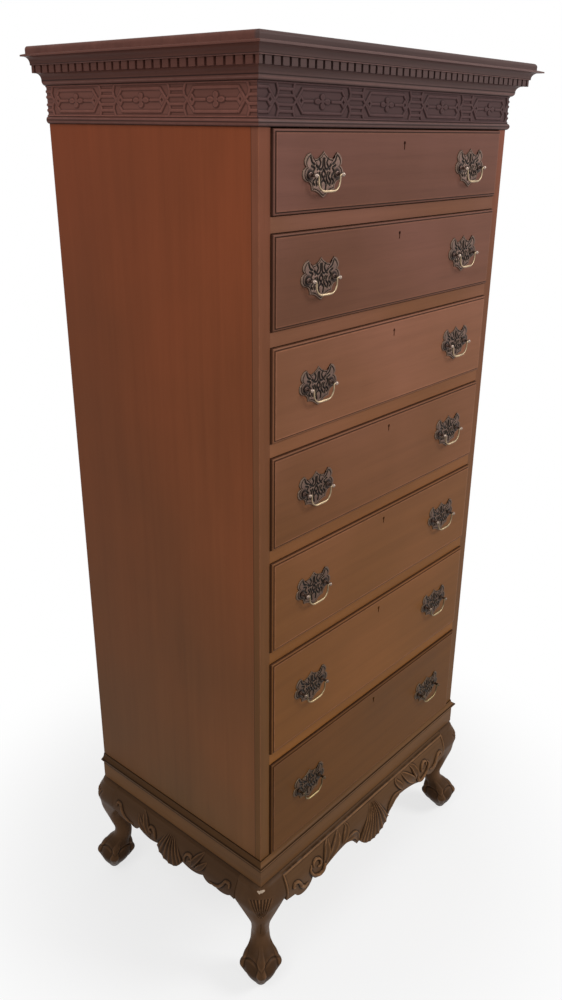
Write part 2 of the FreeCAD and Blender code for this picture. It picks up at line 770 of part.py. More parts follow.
def nut(x, z):
    """Square nut on a post's shank, behind the drawer front."""
    half = NUT_W / 2
    block = box(x - half, x + half, FRONT_BACK_Y, FRONT_BACK_Y + NUT_T, z - half, z + half)
    return block.cut(rod_along_y(x, z, SHANK_R + SHANK_GAP, FRONT_BACK_Y, FRONT_BACK_Y + NUT_T))


def drawer_brasses(floor, height):
    """Back plates, posts and nuts of a drawer's two pulls, and its lock."""
    z = pull_level(floor, height)
    pieces = [back_plate(side * PULL_X, z) for side in (-1, 1)]
    for number, (x, post_z) in enumerate(post_places(floor, height)):
        inward = 1 if number % 2 == 0 else -1
        pieces += [post(x, post_z, inward), nut(x, post_z)]
    return pieces + [lock_case(floor + height - FRONT_GAP)]


def bail():
    """Hanging loop about the origin: pins for two balls, bent arms, and a bar that swells in the middle."""
    arm = POST_SPACING / 2 - BALL_R - ARM_GAP - ROD_R
    corner = arm - BAIL_CORNER
    turn = BULGE * ARM_BEND
    bend = BULGE * BAIL_CORNER

    def place(u, v):
        return Vector(u, 0, v)

    tip = place(-POST_SPACING / 2 - PIN_PAST, 0)
    neck = place(-arm - ARM_BEND, 0)
    neck_middle = place(-arm - ARM_BEND + turn, turn - ARM_BEND)
    shoulder = place(-arm, -ARM_BEND)
    hip = place(-arm, BAIL_CORNER - BAIL_DROP)
    hip_middle = place(-corner - bend, BAIL_CORNER - BAIL_DROP - bend)
    bar_end = place(-corner, -BAIL_DROP)
    path = Part.Wire([
        Part.LineSegment(tip, neck).toShape(),
        Part.Arc(neck, neck_middle, shoulder).toShape(),
        Part.LineSegment(shoulder, hip).toShape(),
        Part.Arc(hip, hip_middle, bar_end).toShape(),
    ])
    ring = Part.Wire(Part.makeCircle(ROD_R, tip, Vector(1, 0, 0)))
    arm_rod = path.makePipeShell([ring], True, False)
    bar_top = ROD_R - BAIL_DROP
    swell = (0, GRIP_R - BAIL_DROP, corner, bar_top)
    grip_face = outline_face(
        (-corner, -BAIL_DROP),
        ((-corner, bar_top), swell, (corner, -BAIL_DROP)),
        place,
    )
    grip = grip_face.revolve(place(0, -BAIL_DROP), Vector(1, 0, 0), 360)
    return grip.fuse(pair(arm_rod))


def bail_at(loop, x, z):
    """A bail hung between the balls of one pull."""
    hung = loop.copy()
    hung.translate(Vector(x, BALL_Y, z))
    return [hung]


def write(name, solids):
    """Write one node's solids, moved from the case's middle to the origin of the whole."""
    shape = solids[0] if len(solids) == 1 else Part.makeCompound(solids)
    shape = shape.copy()
    shape.translate(CASE_SHIFT)
    shape.exportStep(os.path.join("parts", name + ".step"))
    print(name, len(shape.Solids), round(shape.Volume), shape.isValid())


def main():
    """Write every node of the chest."""
    os.makedirs("parts", exist_ok=True)
    fixed = (
        side_panels, front_stiles, drawer_rails, frieze_rail, drawer_runners, dust_panels, drawer_stops,
        back_panel, bottom_board, top_board, frieze_bead, frieze_fret, cornice_molding, dentil_molding,
        waist_molding, base_frame, aprons, legs,
    )
    for make in fixed:
        write(make.__name__, make())
    loop = bail()
    for number, (floor, height) in enumerate(zip(FLOORS, OPENING_HEIGHTS), start=1):
        name = "drawer_%d_" % number
        level = pull_level(floor, height)
        write(name + "front", drawer_front(floor, height))
        write(name + "box", drawer_box(floor, height))
        write(name + "brasses", drawer_brasses(floor, height))
        write(name + "bail_left", bail_at(loop, -PULL_X, level))
        write(name + "bail_right", bail_at(loop, PULL_X, level))
        write(name + "lock_bolt", lock_bolt(floor, height))


main()
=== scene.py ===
"""Carving, brasses, wood finish and stage for a tall chest of seven drawers on cabriole legs.

Shapes are worked out in millimetres in the chest's own frame: +Z up, the front faces -Y.
"""
import functools
import json
import math

import bpy
import numpy as np
from mathutils import Matrix, Vector


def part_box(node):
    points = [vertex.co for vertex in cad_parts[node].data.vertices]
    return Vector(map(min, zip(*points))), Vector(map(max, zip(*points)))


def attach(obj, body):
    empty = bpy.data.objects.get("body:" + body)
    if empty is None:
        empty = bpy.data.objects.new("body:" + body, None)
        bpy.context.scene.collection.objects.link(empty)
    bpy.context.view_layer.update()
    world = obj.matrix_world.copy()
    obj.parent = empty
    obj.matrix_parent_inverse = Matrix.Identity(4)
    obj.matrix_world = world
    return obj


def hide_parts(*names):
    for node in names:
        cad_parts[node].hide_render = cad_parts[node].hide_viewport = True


bl_info = {
    "name": "Semainier finish",
    "version": (1, 0, 0),
    "blender": (4, 5, 0),
    "location": "3D View > Sidebar > Semainier",
    "description": "Carving, brasses, wood finish and stage for a tall chest of drawers",
    "category": "Object",
}

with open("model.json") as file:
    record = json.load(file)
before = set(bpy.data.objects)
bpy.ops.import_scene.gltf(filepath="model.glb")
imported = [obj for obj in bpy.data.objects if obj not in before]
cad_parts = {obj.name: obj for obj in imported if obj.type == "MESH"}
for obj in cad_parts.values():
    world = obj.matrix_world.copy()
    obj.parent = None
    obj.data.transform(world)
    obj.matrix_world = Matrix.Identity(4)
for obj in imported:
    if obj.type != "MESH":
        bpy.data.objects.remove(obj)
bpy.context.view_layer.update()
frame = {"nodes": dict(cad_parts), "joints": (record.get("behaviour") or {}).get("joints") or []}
MM = 0.001


def box_mm(node):
    """Lowest and highest corner of a CAD node, in millimetres."""
    return [np.array(corner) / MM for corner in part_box(node)]


# Planes and levels of the case, read from the frame
HALF_W, BACK_Y, _ = box_mm("side_panels")[1]
(_, FACE_Y, CASE_LOW), (_, STILE_Y, CASE_HIGH) = box_mm("front_stiles")
MIDDLE_Y = (FACE_Y + BACK_Y) / 2
HALF_D = (BACK_Y - FACE_Y) / 2
FIELD_Y = box_mm("drawer_1_front")[0][1]
LEG_H = box_mm("base_frame")[0][2]
FRET_LOW, FRET_HIGH = box_mm("frieze_fret")
DENTIL_LOW, DENTIL_HIGH = (corner[2] for corner in box_mm("dentil_molding"))
_, LIP_Y, TOP_LOW = box_mm("top_board")[0]
DRAWERS = range(1, sum(name.endswith("_front") for name in frame["nodes"]) + 1)
SIDES = (("left", -1), ("right", 1))

# Frieze fret: quarter of one period, as bars from point to point about the middle of a lobed cross
FRET_BARS = (
    (0, 13.4, 36, 13.4), (19, 0, 37, 0), (37, 0, 41.5, 5), (41.5, 5, 46, 0), (50, 0, 38.5, 13.4),
    (50, 0, 55, 5), (55, 5, 56.5, 10.5), (56.5, 10.5, 53.5, 18), (55, 5, 70, 5), (57, 12.2, 70, 12.2),
)
# Lobes of the cross: middle, half width, half height
FRET_LOBES = ((9.5, 0.0, 6.0, 3.2), (0.0, 5.2, 4.4, 3.8), (0.0, 0.0, 4.0, 2.6))
FRET_BORDER = 18.0
FRET_PERIOD_FRONT = 138.9
FRET_PERIOD_SIDE = 137.0
FRET_START_FRONT = -42.0
FRET_STEP = 0.55
FRET_GROUND = 0.4
# Width of a bar's sloping edge, and the stroke of painted shade beside it: distance and half width
FRET_SLOPE = 1.2
FRET_SHADE_STROKE = 0.8
# How dark the painted shade beside a level edge is, against that beside an upright one
LEVEL_SHADE_STROKE = 0.35

# Stand: swelled face of aprons and knees, and how far it stands out of the case
BAND_OUT = 3.0
COVE_H = 4.0
COVE_OUT = 9.0
SWELL_OUT = 21.0
SWELL_H = 41.0
APRON_IN = 4.0
KNEE_W = 43.0
SEAT_CUT = 9.0
CARVE_STEP = 0.8
# Painted shade in the cove under the band, as a share
COVE_SHADE = 0.8
# Soft edge at the sides of a fan of flutes
FAN_EDGE = 1.5
# Shells: length over which one rises, and how deep the apron's edge is notched at its ridges
SHELL_OPENING = 45.0
SHELL_NOTCH = 1.8
# Bead of the front apron: drop along its top, then drops beside the knee where it thins and where it ends
BEAD_DROPS = (6.5, 40.0, 50.0)

# Aprons, by half. edge: share of the half length and drop below the leg's top, where four numbers are an
# arc through a point. shell: its top in the swell, the point its ribs come from, half angle in degrees.
# leaves and scrolls: rows of distance from the middle, drop, half width and rise.
FRONT_APRON = {
    "lowest": 96.0,
    "edge": (
        (0.10, 90.0, 0.18, 71.0), (0.205, 75.0), (0.255, 59.0, 0.35, 49.0), (0.49, 54.0, 0.63, 66.0),
        (0.69, 64.0, 0.72, 54.0), (0.78, 70.0, 0.91, 58.0), (1.0, 54.0),
    ),
    "shell": (12.0, -2.0, 32.5),
    "leaves": (
        ((92, 43, 2, 1), (78, 42, 6, 4), (64, 43, 8, 5.5), (55, 53, 7, 5), (48, 70, 2, 1.5)),
        ((98, 42, 2, 1), (92, 33, 6, 4.5), (85, 24, 7, 5), (80, 16, 5, 4), (82, 9, 2, 1)),
        ((141, 52, 3, 1), (132, 41, 8, 5), (122, 32, 9, 6), (111, 21, 7.5, 5), (102, 10, 2, 1)),
        ((151, 50, 3, 2), (147, 38, 7, 5), (142, 26, 8, 6), (138, 16, 6, 4.5), (131, 9, 2, 1)),
    ),
    "scrolls": (
        ((186, 28, 1.6, 2), (190, 35, 2.4, 3.5), (186, 45, 3.2, 4.5), (176, 56, 3.8, 5), (164, 61, 4.2, 5.5),
         (155, 58, 4.4, 5.5), (151, 49, 4.4, 5)),
        ((170, 41, 1.6, 3), (164, 40, 2.2, 4), (162, 33, 2.5, 4.5), (167, 25, 2.6, 4.5), (175, 23, 2.4, 4),
         (181, 27, 2.2, 3.5), (180, 35, 1.8, 2.5)),
        ((198, 57, 2, 2), (206, 58, 4, 4), (214, 52, 4.5, 4.8), (219, 41, 4, 4.8), (226, 33, 3.4, 4.4),
         (233, 32, 2.8, 4), (236, 39, 2.4, 3.4), (231, 42, 1.8, 2.4)),
    ),
    "bead": True,
}
SIDE_APRON = {
    "lowest": 71.0,
    "edge": (
        (0.11, 66.0, 0.20, 47.0), (0.29, 51.0, 0.53, 43.0), (0.63, 52.0, 0.69, 47.0),
        (0.79, 51.0, 0.94, 43.0), (1.0, 45.0),
    ),
    "shell": (12.0, -6.0, 32.0),
    "leaves": (
        ((55, 45, 2, 1), (60, 34, 5.5, 4), (67, 23, 6.5, 5), (73, 14, 5, 4), (79, 6, 2, 1)),
        ((66, 44, 2, 1), (73, 36, 5, 3.5), (82, 28, 5.5, 4), (90, 18, 2, 1)),
    ),
    "scrolls": (
        ((39, 42, 2, 2.5), (40, 31, 2.8, 4), (46, 23, 3, 4.2), (54, 23, 2.8, 4), (57, 30, 2.4, 3.4),
         (51, 34, 1.8, 2.4)),
        ((104, 46, 2, 1.5), (116, 45, 3.4, 3), (127, 40, 3.6, 4), (135, 31, 3.4, 4), (141, 22, 3, 4),
         (149, 22, 2.6, 3.6), (150, 29, 2, 2.6)),
    ),
    "bead": False,
}

# Leg sections: height, centre from the case corner along the diagonal, half size, squareness
LEG_SECTIONS = (
    (0, -1.2, 8.0, 2.0), (5.2, -1.6, 12.8, 2.0), (14, -2.5, 21.2, 2.0), (28, -4.0, 31.8, 2.0),
    (40, -5.0, 36.5, 2.0), (52, -6.5, 33.6, 2.0), (65.1, -9.0, 26.6, 2.0), (81, -15.9, 18.25, 2.0),
    (97, -17.5, 16.2, 2.0), (117.6, -12.5, 15.7, 2.0), (136.4, -8.3, 16.5, 2.4), (157, -9.4, 24.2, 3.2),
    (174.1, -14.5, 33.0, 4.4),
)
LEG_POINTS = 200
KNEE_SQUARENESS = 6.0
OUTER_SQUARENESS = 2.6
KNEE_DROPS = (41.0, 31.0, 21.0, 12.1, 4.0, 0.0)
# Fan on the knee: the height its flutes come from, where they begin and end, half angle, rise
FAN_APEX_Z = 160.0
FAN_Z = (166.0, 208.0)
FAN_HALF_ANGLE = math.radians(26)
FAN_RISE = 1.6
# How much darker the feet get towards the floor and the knees towards their tops, as shares
FOOT_DARKENING = 0.6
KNEE_DARKENING = 0.34
# Lost chip over one knee's fan: height, half width, half height
CHIP_Z = 219.0
CHIP_HALF = (5.5, 2.75)
ANKLE_Z = 97.0
TOE_TOP_Z = 88.0
# Upper edge of the ball where it shows between two toes: height, and how much lower it meets them
BALL_EDGE_Z = 61.0
BALL_EDGE_DROP = 12.0
KNUCKLES_Z = (63.0, 43.0)
KNUCKLE_HALF = 6.5
NAIL_Z = 26.0
# Toe's half angle in degrees, and what a knuckle adds and the nail takes off
TOE_ANGLE = 12.0
TOE_SWELL = 5.0
# Groove along the ball's upper edge: depth and half width
BALL_GROOVE = 1.8

# Pulls: half outline of a back plate from its lower tip to its top peak, as shares of its half size
PLATE_OUTLINE = (
    (0.13, -0.90), (0.36, -0.72, 0.60, -0.66), (0.66, -0.40, 0.82, -0.27), (1.06, -0.02, 0.87, 0.36),
    (0.98, 0.58, 0.94, 0.72), (0.85, 0.86, 0.69, 0.94), (0.61, 0.76, 0.48, 0.67), (0.33, 0.70),
    (0.15, 0.82, 0.0, 1.0),
)
PLATE_HALF = (38.5, 28.0)
PLATE_T = 1.5
PLATE_RINGS = 58
# Cut lines of half a plate: across, up
PLATE_CUTS = (
    ((9.0, 19.0), (6.4, 14.0), (8.8, 9.5), (12.5, 6.0)),
    ((1.4, 19.0), (1.6, 13.5), (2.4, 9.0), (5.8, 6.0), (9.5, 7.5), (15.0, 11.0)),
    ((0.0, 6.0), (3.6, 0.2), (0.0, -5.6), (5.2, -11.0), (4.0, -18.5)),
    ((8.6, 2.0), (5.6, -4.4), (10.0, -11.5)),
    ((12.6, 1.5), (10.2, -3.5), (14.5, -8.0), (13.0, -13.0)),
    ((24.0, 10.5), (18.0, 7.5), (21.0, 3.0), (17.0, -2.0)),
    ((18.5, 12.5), (23.0, 15.0), (26.0, 21.0)),
    ((16.5, -5.0), (20.5, -8.5), (18.0, -12.0)),
)
CUT_HALF = 1.8
# Line cut round a plate inside its edge: place and half width as shares of the way out, share of the depth
PLATE_LINE = (0.90, 0.03, 0.8)
# Painted shade on a plate round each post: radius, soft edge, share
POST_SHADE = (9.5, 4.0, 0.9)
POST_SPACING = 54.0
BALL_R = 3.0
BALL_OUT = 11.6
BALL_RINGS = 18
# Turned post: distance from the drawer's field, radius, wear
POST_PROFILE = (
    (-23.5, 2.5, 0), (1.5, 2.5, 0), (1.5, 4.0, 0), (2.3, 4.2, 0), (3.0, 3.8, 0),
    (3.3, 2.6, 0), (4.8, 1.9, 0), (6.8, 1.9, 0), (8.2, 1.95, 0.1),
)
BALL_TIP = ((0.1, 0.9), (0.5, 0.7), (0.7, 0.2))
NUT_W = 10.0
NUT_T = 3.0
NUT_BEVEL = (0.8, 0.6)
LOCK_WELL = (9.5, 3.25)
LOCK_FLOOR = 24.4
LOCK_SIZE = (52.0, 11.0, 34.0)
FRONT_T = 21.0
ROUND_POINTS = 28
ROD_R = 1.15
GRIP_R = 1.85
BAIL_POINTS = 20
BAIL_ARM = 21.8
BAIL_DROP = 19.5
BAIL_CORNER = 13.0
BAIL_BEND = 2.2
PIN_END = 28.8
# How dull the bottom drawer's bails are along their arms. This grows from none at the top drawer, as painted
# shade towards the floor.
ARM_TARNISH = 0.75
SQUARE = np.array([(-1, -1), (1, -1), (1, 1), (-1, 1)], float)

# Rim of a drawer front, from its edge to the raised field
RIM_W = 4.5
# Width of the wear along the case's front corners
CORNER_WEAR = 1.4
# Width of the back panel's boards
BACK_BOARD = 138.0
# Painted light and shade on each drawer front, as a brightness from the top drawer down, and on the rails
# near the top and the floor
DRAWER_LIGHT_TONES = (0.89, 0.98, 1.5, 1.3, 1.5, 1.46, 0.99)
RAIL_LIGHT_TONES = (1.05, 1.8)
# Wood laid bare where the finish has chipped off
BARE_WOOD = "b9a996"
# Angles in degrees over which an edge is drawn sharp
CARVED_CREASE = 60
BRASS_CREASE = 35

# Stage, in metres. Floor: half size, and the distances between which its shadow gives way to white, from a
# share of white. Lamps: place, size and watts.
FLOOR_HALF = 6.0
FLOOR_WHITE = (0.35, 0.85, 0.72)
PAPER = "dadada"
WHITE = "ffffff"
ROOM_LIGHT = 0.42
LAMPS = (("key", (2.0, -3.0, 2.9), 1.5, 115.0), ("fill", (-1.9, -0.5, 2.7), 1.6, 33.0))
LAMP_TARGET = (0.0, 0.0, 0.8)
# Camera: place, then yaw, pitch and roll in degrees, then focal length, image size and middle in pixels
CAMERA_PLACE = (-1.1070, -0.9549, 1.4028)
CAMERA_TURN = (49.63, -22.57, 0.81)
CAMERA_PIXELS = (878.6, 562, 1000, 295.8, 491.5)


def linear(colour):
    """sRGB hex to linear red, green and blue: c / 12.92 up to 0.04045, else ((c + 0.055) / 1.055) ** 2.4."""
    channels = [int(colour[i:i + 2], 16) / 255 for i in (0, 2, 4)]
    return tuple(c / 12.92 if c <= 0.04045 else ((c + 0.055) / 1.055) ** 2.4 for c in channels)


def colour_property(label, words, default):
    """A colour that a user may change, with its default as sRGB hex."""
    return bpy.props.FloatVectorProperty(
        name=label, description=words, subtype="COLOR", size=3, min=0.0, max=1.0, default=linear(default)
    )


def length_property(label, words, default):
    """A length that a user may change, with its default in millimetres."""
    return bpy.props.FloatProperty(
        name=label, description=words, unit="LENGTH", min=0.0, default=default * MM
    )


def count_property(label, words, default):
    """A number of like things that a user may change."""
    return bpy.props.IntProperty(name=label, description=words, min=3, default=default)


class SemainierSizes(bpy.types.PropertyGroup):
    """Depths and counts of the carving and the brasses."""

    fret_bar: length_property("Fret bar", "Half width of the frieze fret's bars", 1.7)
    shell_rise: length_property("Shell rise", "How far the apron shells stand out of the swelled face", 6.0)
    flute_depth: length_property("Flute depth", "Depth of the flutes in the shells", 2.8)
    knee_depth: length_property("Knee flutes", "Depth of the flutes in the knees' fans", 3.0)
    bead_r: length_property("Apron bead", "Half width of the bead along the front apron", 1.8)
    cut_depth: length_property("Plate cuts", "Depth of the lines cut in a pull's plate", 1.1)
    front_flutes: count_property("Front flutes", "Flutes of the front shell", 8)
    side_flutes: count_property("Side flutes", "Flutes of a side shell", 6)
    knee_flutes: count_property("Knee flutes in a fan", "Flutes of a knee's fan", 7)


class SemainierColours(bpy.types.PropertyGroup):
    """Colours of the woods and metals."""

    # Each upper colour and its lower one differ partly by painted shade, which darkens the case towards the
    # floor.
    side_upper: colour_property("Sides, upper", "Polished mahogany of the sides near the top", "793d25")
    side_lower: colour_property("Sides, lower", "Polished mahogany of the sides near the floor", "65462a")
    front_upper: colour_property("Fronts, upper", "Faded mahogany of the upper drawer fronts", "6d4940")
    front_lower: colour_property("Fronts, lower", "Faded mahogany of the lower drawer fronts", "5a3818")
    # The cornice's and the frieze's front colours are darker copies of the sides' wood: painted shade.
    cornice: colour_property("Cornice, sides", "Dark mahogany of cornice and frieze at the sides", "5d3b33")
    cornice_front: colour_property("Cornice, front", "Faded mahogany of the cornice at the front", "523f3c")
    frieze_front: colour_property("Frieze, front", "Dark mahogany of the frieze along the front", "463231")
    stand: colour_property("Stand", "Brown mahogany of the waist and band", "604228")
    apron: colour_property("Front apron", "Brown mahogany of the carved front apron", "543b26")
    legs: colour_property("Legs", "Darkened mahogany of the legs", "543b27")
    lining: colour_property("Lining", "Bare wood of the drawer boxes and back", "a9835a")
    # The lower brasses are darker partly as painted shade towards the floor.
    plates_upper: colour_property("Plates, upper", "Tarnished brass of the top drawer's plates", "6d564d")
    plates_lower: colour_property("Plates, lower", "Tarnished brass of the bottom drawer's plates", "523b29")
    bails_upper: colour_property("Bails, upper", "Rubbed brass of the top drawer's bails", "a48f74")
    bails_lower: colour_property("Bails, lower", "Rubbed brass of the bottom drawer's bails", "8c7854")
    knobs_upper: colour_property("Knobs, upper", "Rubbed brass of the top drawer's post balls", "9c8a7e")
    knobs_lower: colour_property("Knobs, lower", "Tarnished brass of the bottom drawer's balls", "4a3a2a")
    steel: colour_property("Lock bolts", "Filed steel of the lock bolts", "8d8a84")


def smooth(share):
    """Smoothstep 3t² - 2t³ of a share cut to 0 and 1."""
    t = np.clip(share, 0, 1)
    return t * t * (3 - 2 * t)


def turns(count, start=0.0):
    """Angles once round, as one row."""
    return np.linspace(start, start + 2 * np.pi, count + 1)[:-1][None, :]


def read_table(at, table):
    """Columns of a table at points of its first column: a cubic whose slopes are central differences."""
    rows = np.array(table, float)
    knots, values = rows[:, 0], rows[:, 1:]
    slopes = np.gradient(values, knots, axis=0)
    k = np.clip(np.searchsorted(knots, at) - 1, 0, len(knots) - 2)
    span = (knots[k + 1] - knots[k])[:, None]
    t = (at - knots[k])[:, None] / span
    start = (1 + 2 * t) * (1 - t) ** 2 * values[k] + t * (1 - t) ** 2 * span * slopes[k]
    end = t ** 2 * (3 - 2 * t) * values[k + 1] + t ** 2 * (t - 1) * span * slopes[k + 1]
    return start + end


def arc_points(here, via, there, share):
    """Points of the circle through three points, whose centre is where the bisectors of its chords meet."""
    chords = np.array([via - here, there - via])
    middles = np.array([here + via, via + there]) / 2
    centre = np.linalg.solve(chords, (chords * middles).sum(1))
    angles = np.unwrap([math.atan2(*(p - centre)[::-1]) for p in (here, via, there)])
    turn = angles[0] + (angles[2] - angles[0]) * share
    return centre + np.hypot(*(here - centre)) * np.hstack([np.cos(turn), np.sin(turn)])


def outline_points(start, steps, scale, count=16):
    """Points along lines and three-point arcs. A step's numbers are pairs that are scaled across and up."""
    here = np.array(start, float)
    points = [here[None]]
    share = np.linspace(0, 1, count + 1)[1:, None]
    for step in steps:
        pairs = np.array(step, float).reshape(-1, 2) * scale
        if len(pairs) == 1:
            points.append(here + (pairs[0] - here) * share)
        else:
            points.append(arc_points(here, pairs[0], pairs[1], share))
        here = pairs[-1]
    return np.vstack(points)


def bent(rows, count=6):
    """A path's rows with more between them, read with a cubic along its length."""
    rows = np.array(rows, float)
    along = np.concatenate([[0], np.cumsum(np.hypot(*np.diff(rows[:, :2], axis=0).T))])
    at = np.linspace(0, along[-1], (len(rows) - 1) * count + 1)
    return read_table(at, np.column_stack([along, rows]))


def nearest(x, z, rows):
    """Distance to a path as a share of its half width, and its rise, both where the path is nearest."""
    share = np.full(np.broadcast(x, z).shape, 1e3)
    rise = np.zeros(share.shape)
    for (x0, z0, w0, h0), (x1, z1, w1, h1) in zip(rows[:-1], rows[1:]):
        length2 = max((x1 - x0) ** 2 + (z1 - z0) ** 2, 1e-9)
        t = np.clip(((x - x0) * (x1 - x0) + (z - z0) * (z1 - z0)) / length2, 0, 1)
        away = np.hypot(x - x0 - t * (x1 - x0), z - z0 - t * (z1 - z0)) / (w0 + t * (w1 - w0))
        closer = away < share
        share = np.where(closer, away, share)
        rise = np.where(closer, h0 + t * (h1 - h0), rise)
    return share, rise


def ridge(x, z, rows):
    """Height of a half-round ridge along a path: rise * sqrt(1 - d²) at a share d of the half width."""
    share, rise = nearest(x, z, rows)
    return rise * np.sqrt(np.clip(1 - share ** 2, 0, 1))


def leaf(x, z, rows):
    """Height of a hollowed leaf along a path: rise * (0.3 + 0.7d²), let down over its outer fifth."""
    share, rise = nearest(x, z, bent(rows))
    return rise * (0.3 + 0.7 * np.minimum(share, 1) ** 2) * smooth((1 - share) / 0.2)


def flutes(across, down, half_angle, count):
    """Hollow flutes that fan out from a point: 1 - |sin|^0.8 of the angle, 1 on the ridges between them.

    The second result is 1 inside the fan's angle and 0 outside.
    """
    angle = np.arctan2(across, np.maximum(down, 1e-6))
    phase = (angle / half_angle + 1) / 2 * count
    inside = smooth((half_angle - np.abs(angle)) * np.hypot(across, down) / FAN_EDGE)
    return 1 - np.abs(np.sin(np.pi * phase)) ** 0.8, inside


def spread(field, rounds):
    """A field in which each point becomes the mean of itself and its four neighbours, round after round."""
    for _ in range(rounds):
        wide = np.pad(field, 1, mode="edge")
        field = (field + wide[:-2, 1:-1] + wide[2:, 1:-1] + wide[1:-1, :-2] + wide[1:-1, 2:]) / 5
    return field


def marks_of(relief, depth, rounds=10):
    """Marks of a carved surface, hollow and worn, by its depth below and height over what is round it. They
    paint shade in its hollows and highlights on its edges, as well as polish and wear.
    """
    over = relief - spread(relief, rounds)
    return np.stack([np.clip(-over / depth, 0, 1), np.clip(over / depth, 0, 1)], axis=-1)


def darken(marks, hollow):
    """Make marks at least as hollow as a given share."""
    marks[..., 0] = np.maximum(marks[..., 0], hollow)


def volume(loops):
    """Signed volume in a shell of loops, from triangles to its middle, negative where it is inside out."""
    p = loops - loops.mean((0, 1))
    q = np.roll(p, -1, axis=1)
    total = (np.cross(p[:-1], q[:-1]) * q[1:]).sum() + (np.cross(p[:-1], q[1:]) * p[1:]).sum()
    for ring, sign in ((p[0], -1), (p[-1], 1)):
        total += sign * (np.cross(ring, np.roll(ring, -1, axis=0)) @ ring.mean(0)).sum()
    return total / 6


def shell_faces(loops, first):
    """Faces of a shell of loops: quads between loops and one face over each end, turned outwards."""
    n, m = loops.shape[:2]
    index = first + np.arange(n * m).reshape(n, m)
    after = np.roll(index, -1, axis=1)
    quads = np.stack([index[:-1], after[:-1], after[1:], index[1:]], axis=-1).reshape(-1, 4)
    ends = [index[0][::-1], index[-1]]
    if volume(loops) < 0:
        quads = quads[:, ::-1]
        ends = [end[::-1] for end in ends]
    return [quads.ravel()] + ends, [np.full(len(quads), 4), np.array([m, m])]


def build_mesh(name, shells, crease):
    """Mesh of closed shells in millimetres.

    A shell is an array of loops, shape (n, m, 3), and its marks, shape (n, m, 2): how hollow and how worn
    each point is.
    """
    corners, sizes = [], []
    count = 0
    for loops, _ in shells:
        faces, lengths = shell_faces(loops, count)
        corners += faces
        sizes += lengths
        count += loops.shape[0] * loops.shape[1]
    corners = np.concatenate(corners)
    sizes = np.concatenate(sizes)
    mesh = bpy.data.meshes.new(name)
    mesh.vertices.add(count)
    mesh.vertices.foreach_set("co", np.concatenate([loops.ravel() for loops, _ in shells]) * MM)
    mesh.loops.add(len(corners))
    mesh.loops.foreach_set("vertex_index", corners)
    mesh.polygons.add(len(sizes))
    mesh.polygons.foreach_set("loop_start", np.concatenate([[0], np.cumsum(sizes)[:-1]]))
    mesh.update(calc_edges=True)
    marks = np.concatenate([mark.reshape(-1, 2) for _, mark in shells])
    for column, label in enumerate(("hollow", "worn")):
        mesh.attributes.new(label, "FLOAT", "POINT").data.foreach_set("value", marks[:, column].copy())
    mesh.shade_smooth()
    mesh.set_sharp_from_angle(angle=math.radians(crease))
    return mesh


def add_piece(name, shells, body, material, node, crease=40):
    """Link a new piece that rides on a body and stands for a CAD node."""
    piece = bpy.data.objects.new(name, build_mesh(name, shells, crease))
    bpy.context.scene.collection.objects.link(piece)
    piece.data.materials.append(material)
    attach(piece, body)
    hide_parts(node)


def plain(loops):
    """A shell with no carving: neither hollow nor worn."""
    return loops, np.zeros(loops.shape[:2] + (2,))


def carved_board(along, z, out, marks, back, place):
    """Shell of a board whose face is a carved surface.

    along has n stations; z, out and the marks are arrays of n by m points up the face at each. Each loop
    runs up the face and closes through two points on the plane that lies back behind the case's face.
    """
    s = np.repeat(along[:, None], z.shape[1] + 2, axis=1)
    rim = np.full((len(along), 2), -float(back))
    z = np.hstack([z, z[:, -1:], z[:, :1]])
    loops = np.stack(place(s, np.hstack([out, rim]), z), axis=-1)
    return loops, np.hstack([marks, np.zeros((len(along), 2, 2))])


def on_front(s, out, z):
    """Points out of the front face at s along it."""
    return s, FACE_Y - out, z


def on_side(sign):
    """Function for points out of the left or right side at s from its middle, towards the back."""
    return lambda s, out, z: (sign * (HALF_W + out), MIDDLE_Y + s, z)


def fret_gap(s, z, bar):
    """Distance to the edge of the nearest bar, lobe or border of the fret, below 0 inside one."""
    away = np.full(np.broadcast(s, z).shape, 1e3)
    for x0, z0, x1, z1 in FRET_BARS:
        share, _ = nearest(s, z, ((x0, z0, 1, 1), (x1, z1, 1, 1)))
        away = np.minimum(away, share)
    for cx, cz, rx, rz in FRET_LOBES:
        away = np.minimum(away, bar + (np.hypot((s - cx) / rx, (z - cz) / rz) - 1) * min(rx, rz))
    return np.minimum(away - bar, FRET_BORDER - z)


def frieze_strip(half, start, period, bar, place):
    """Fret strip: the pattern folds at each cross and at half height. Upright edges get the darkest painted
    shade, as side light would give.
    """
    low, high = FRET_LOW[2], FRET_HIGH[2]
    s = np.linspace(-half, half, int(2 * half / FRET_STEP))
    z = np.linspace(low, high, int((high - low) / FRET_STEP))
    folded = np.abs((s - start + period / 2) % period - period / 2)[:, None] * (FRET_PERIOD_FRONT / period)
    gap = fret_gap(folded, np.abs(z - (low + high) / 2)[None, :], bar)
    height = smooth(0.5 - gap / FRET_SLOPE)
    out = FRET_GROUND + (FACE_Y - FRET_LOW[1] - FRET_GROUND) * height
    marks = marks_of(height, 0.22, 5)
    upright, level = (spread(np.abs(np.gradient(height, axis=axis)), 3) for axis in (0, 1))
    # A stroke of painted shade beside each bar, weighted to upright edges as side light falls.
    darken(marks, np.exp(-((gap - FRET_SHADE_STROKE) / FRET_SHADE_STROKE) ** 2))
    marks[..., 0] *= LEVEL_SHADE_STROKE + (1 - LEVEL_SHADE_STROKE) * upright / (upright + level + 1e-6)
    return carved_board(s, np.repeat(z[None, :], len(s), 0), out, marks, 0.0, place)


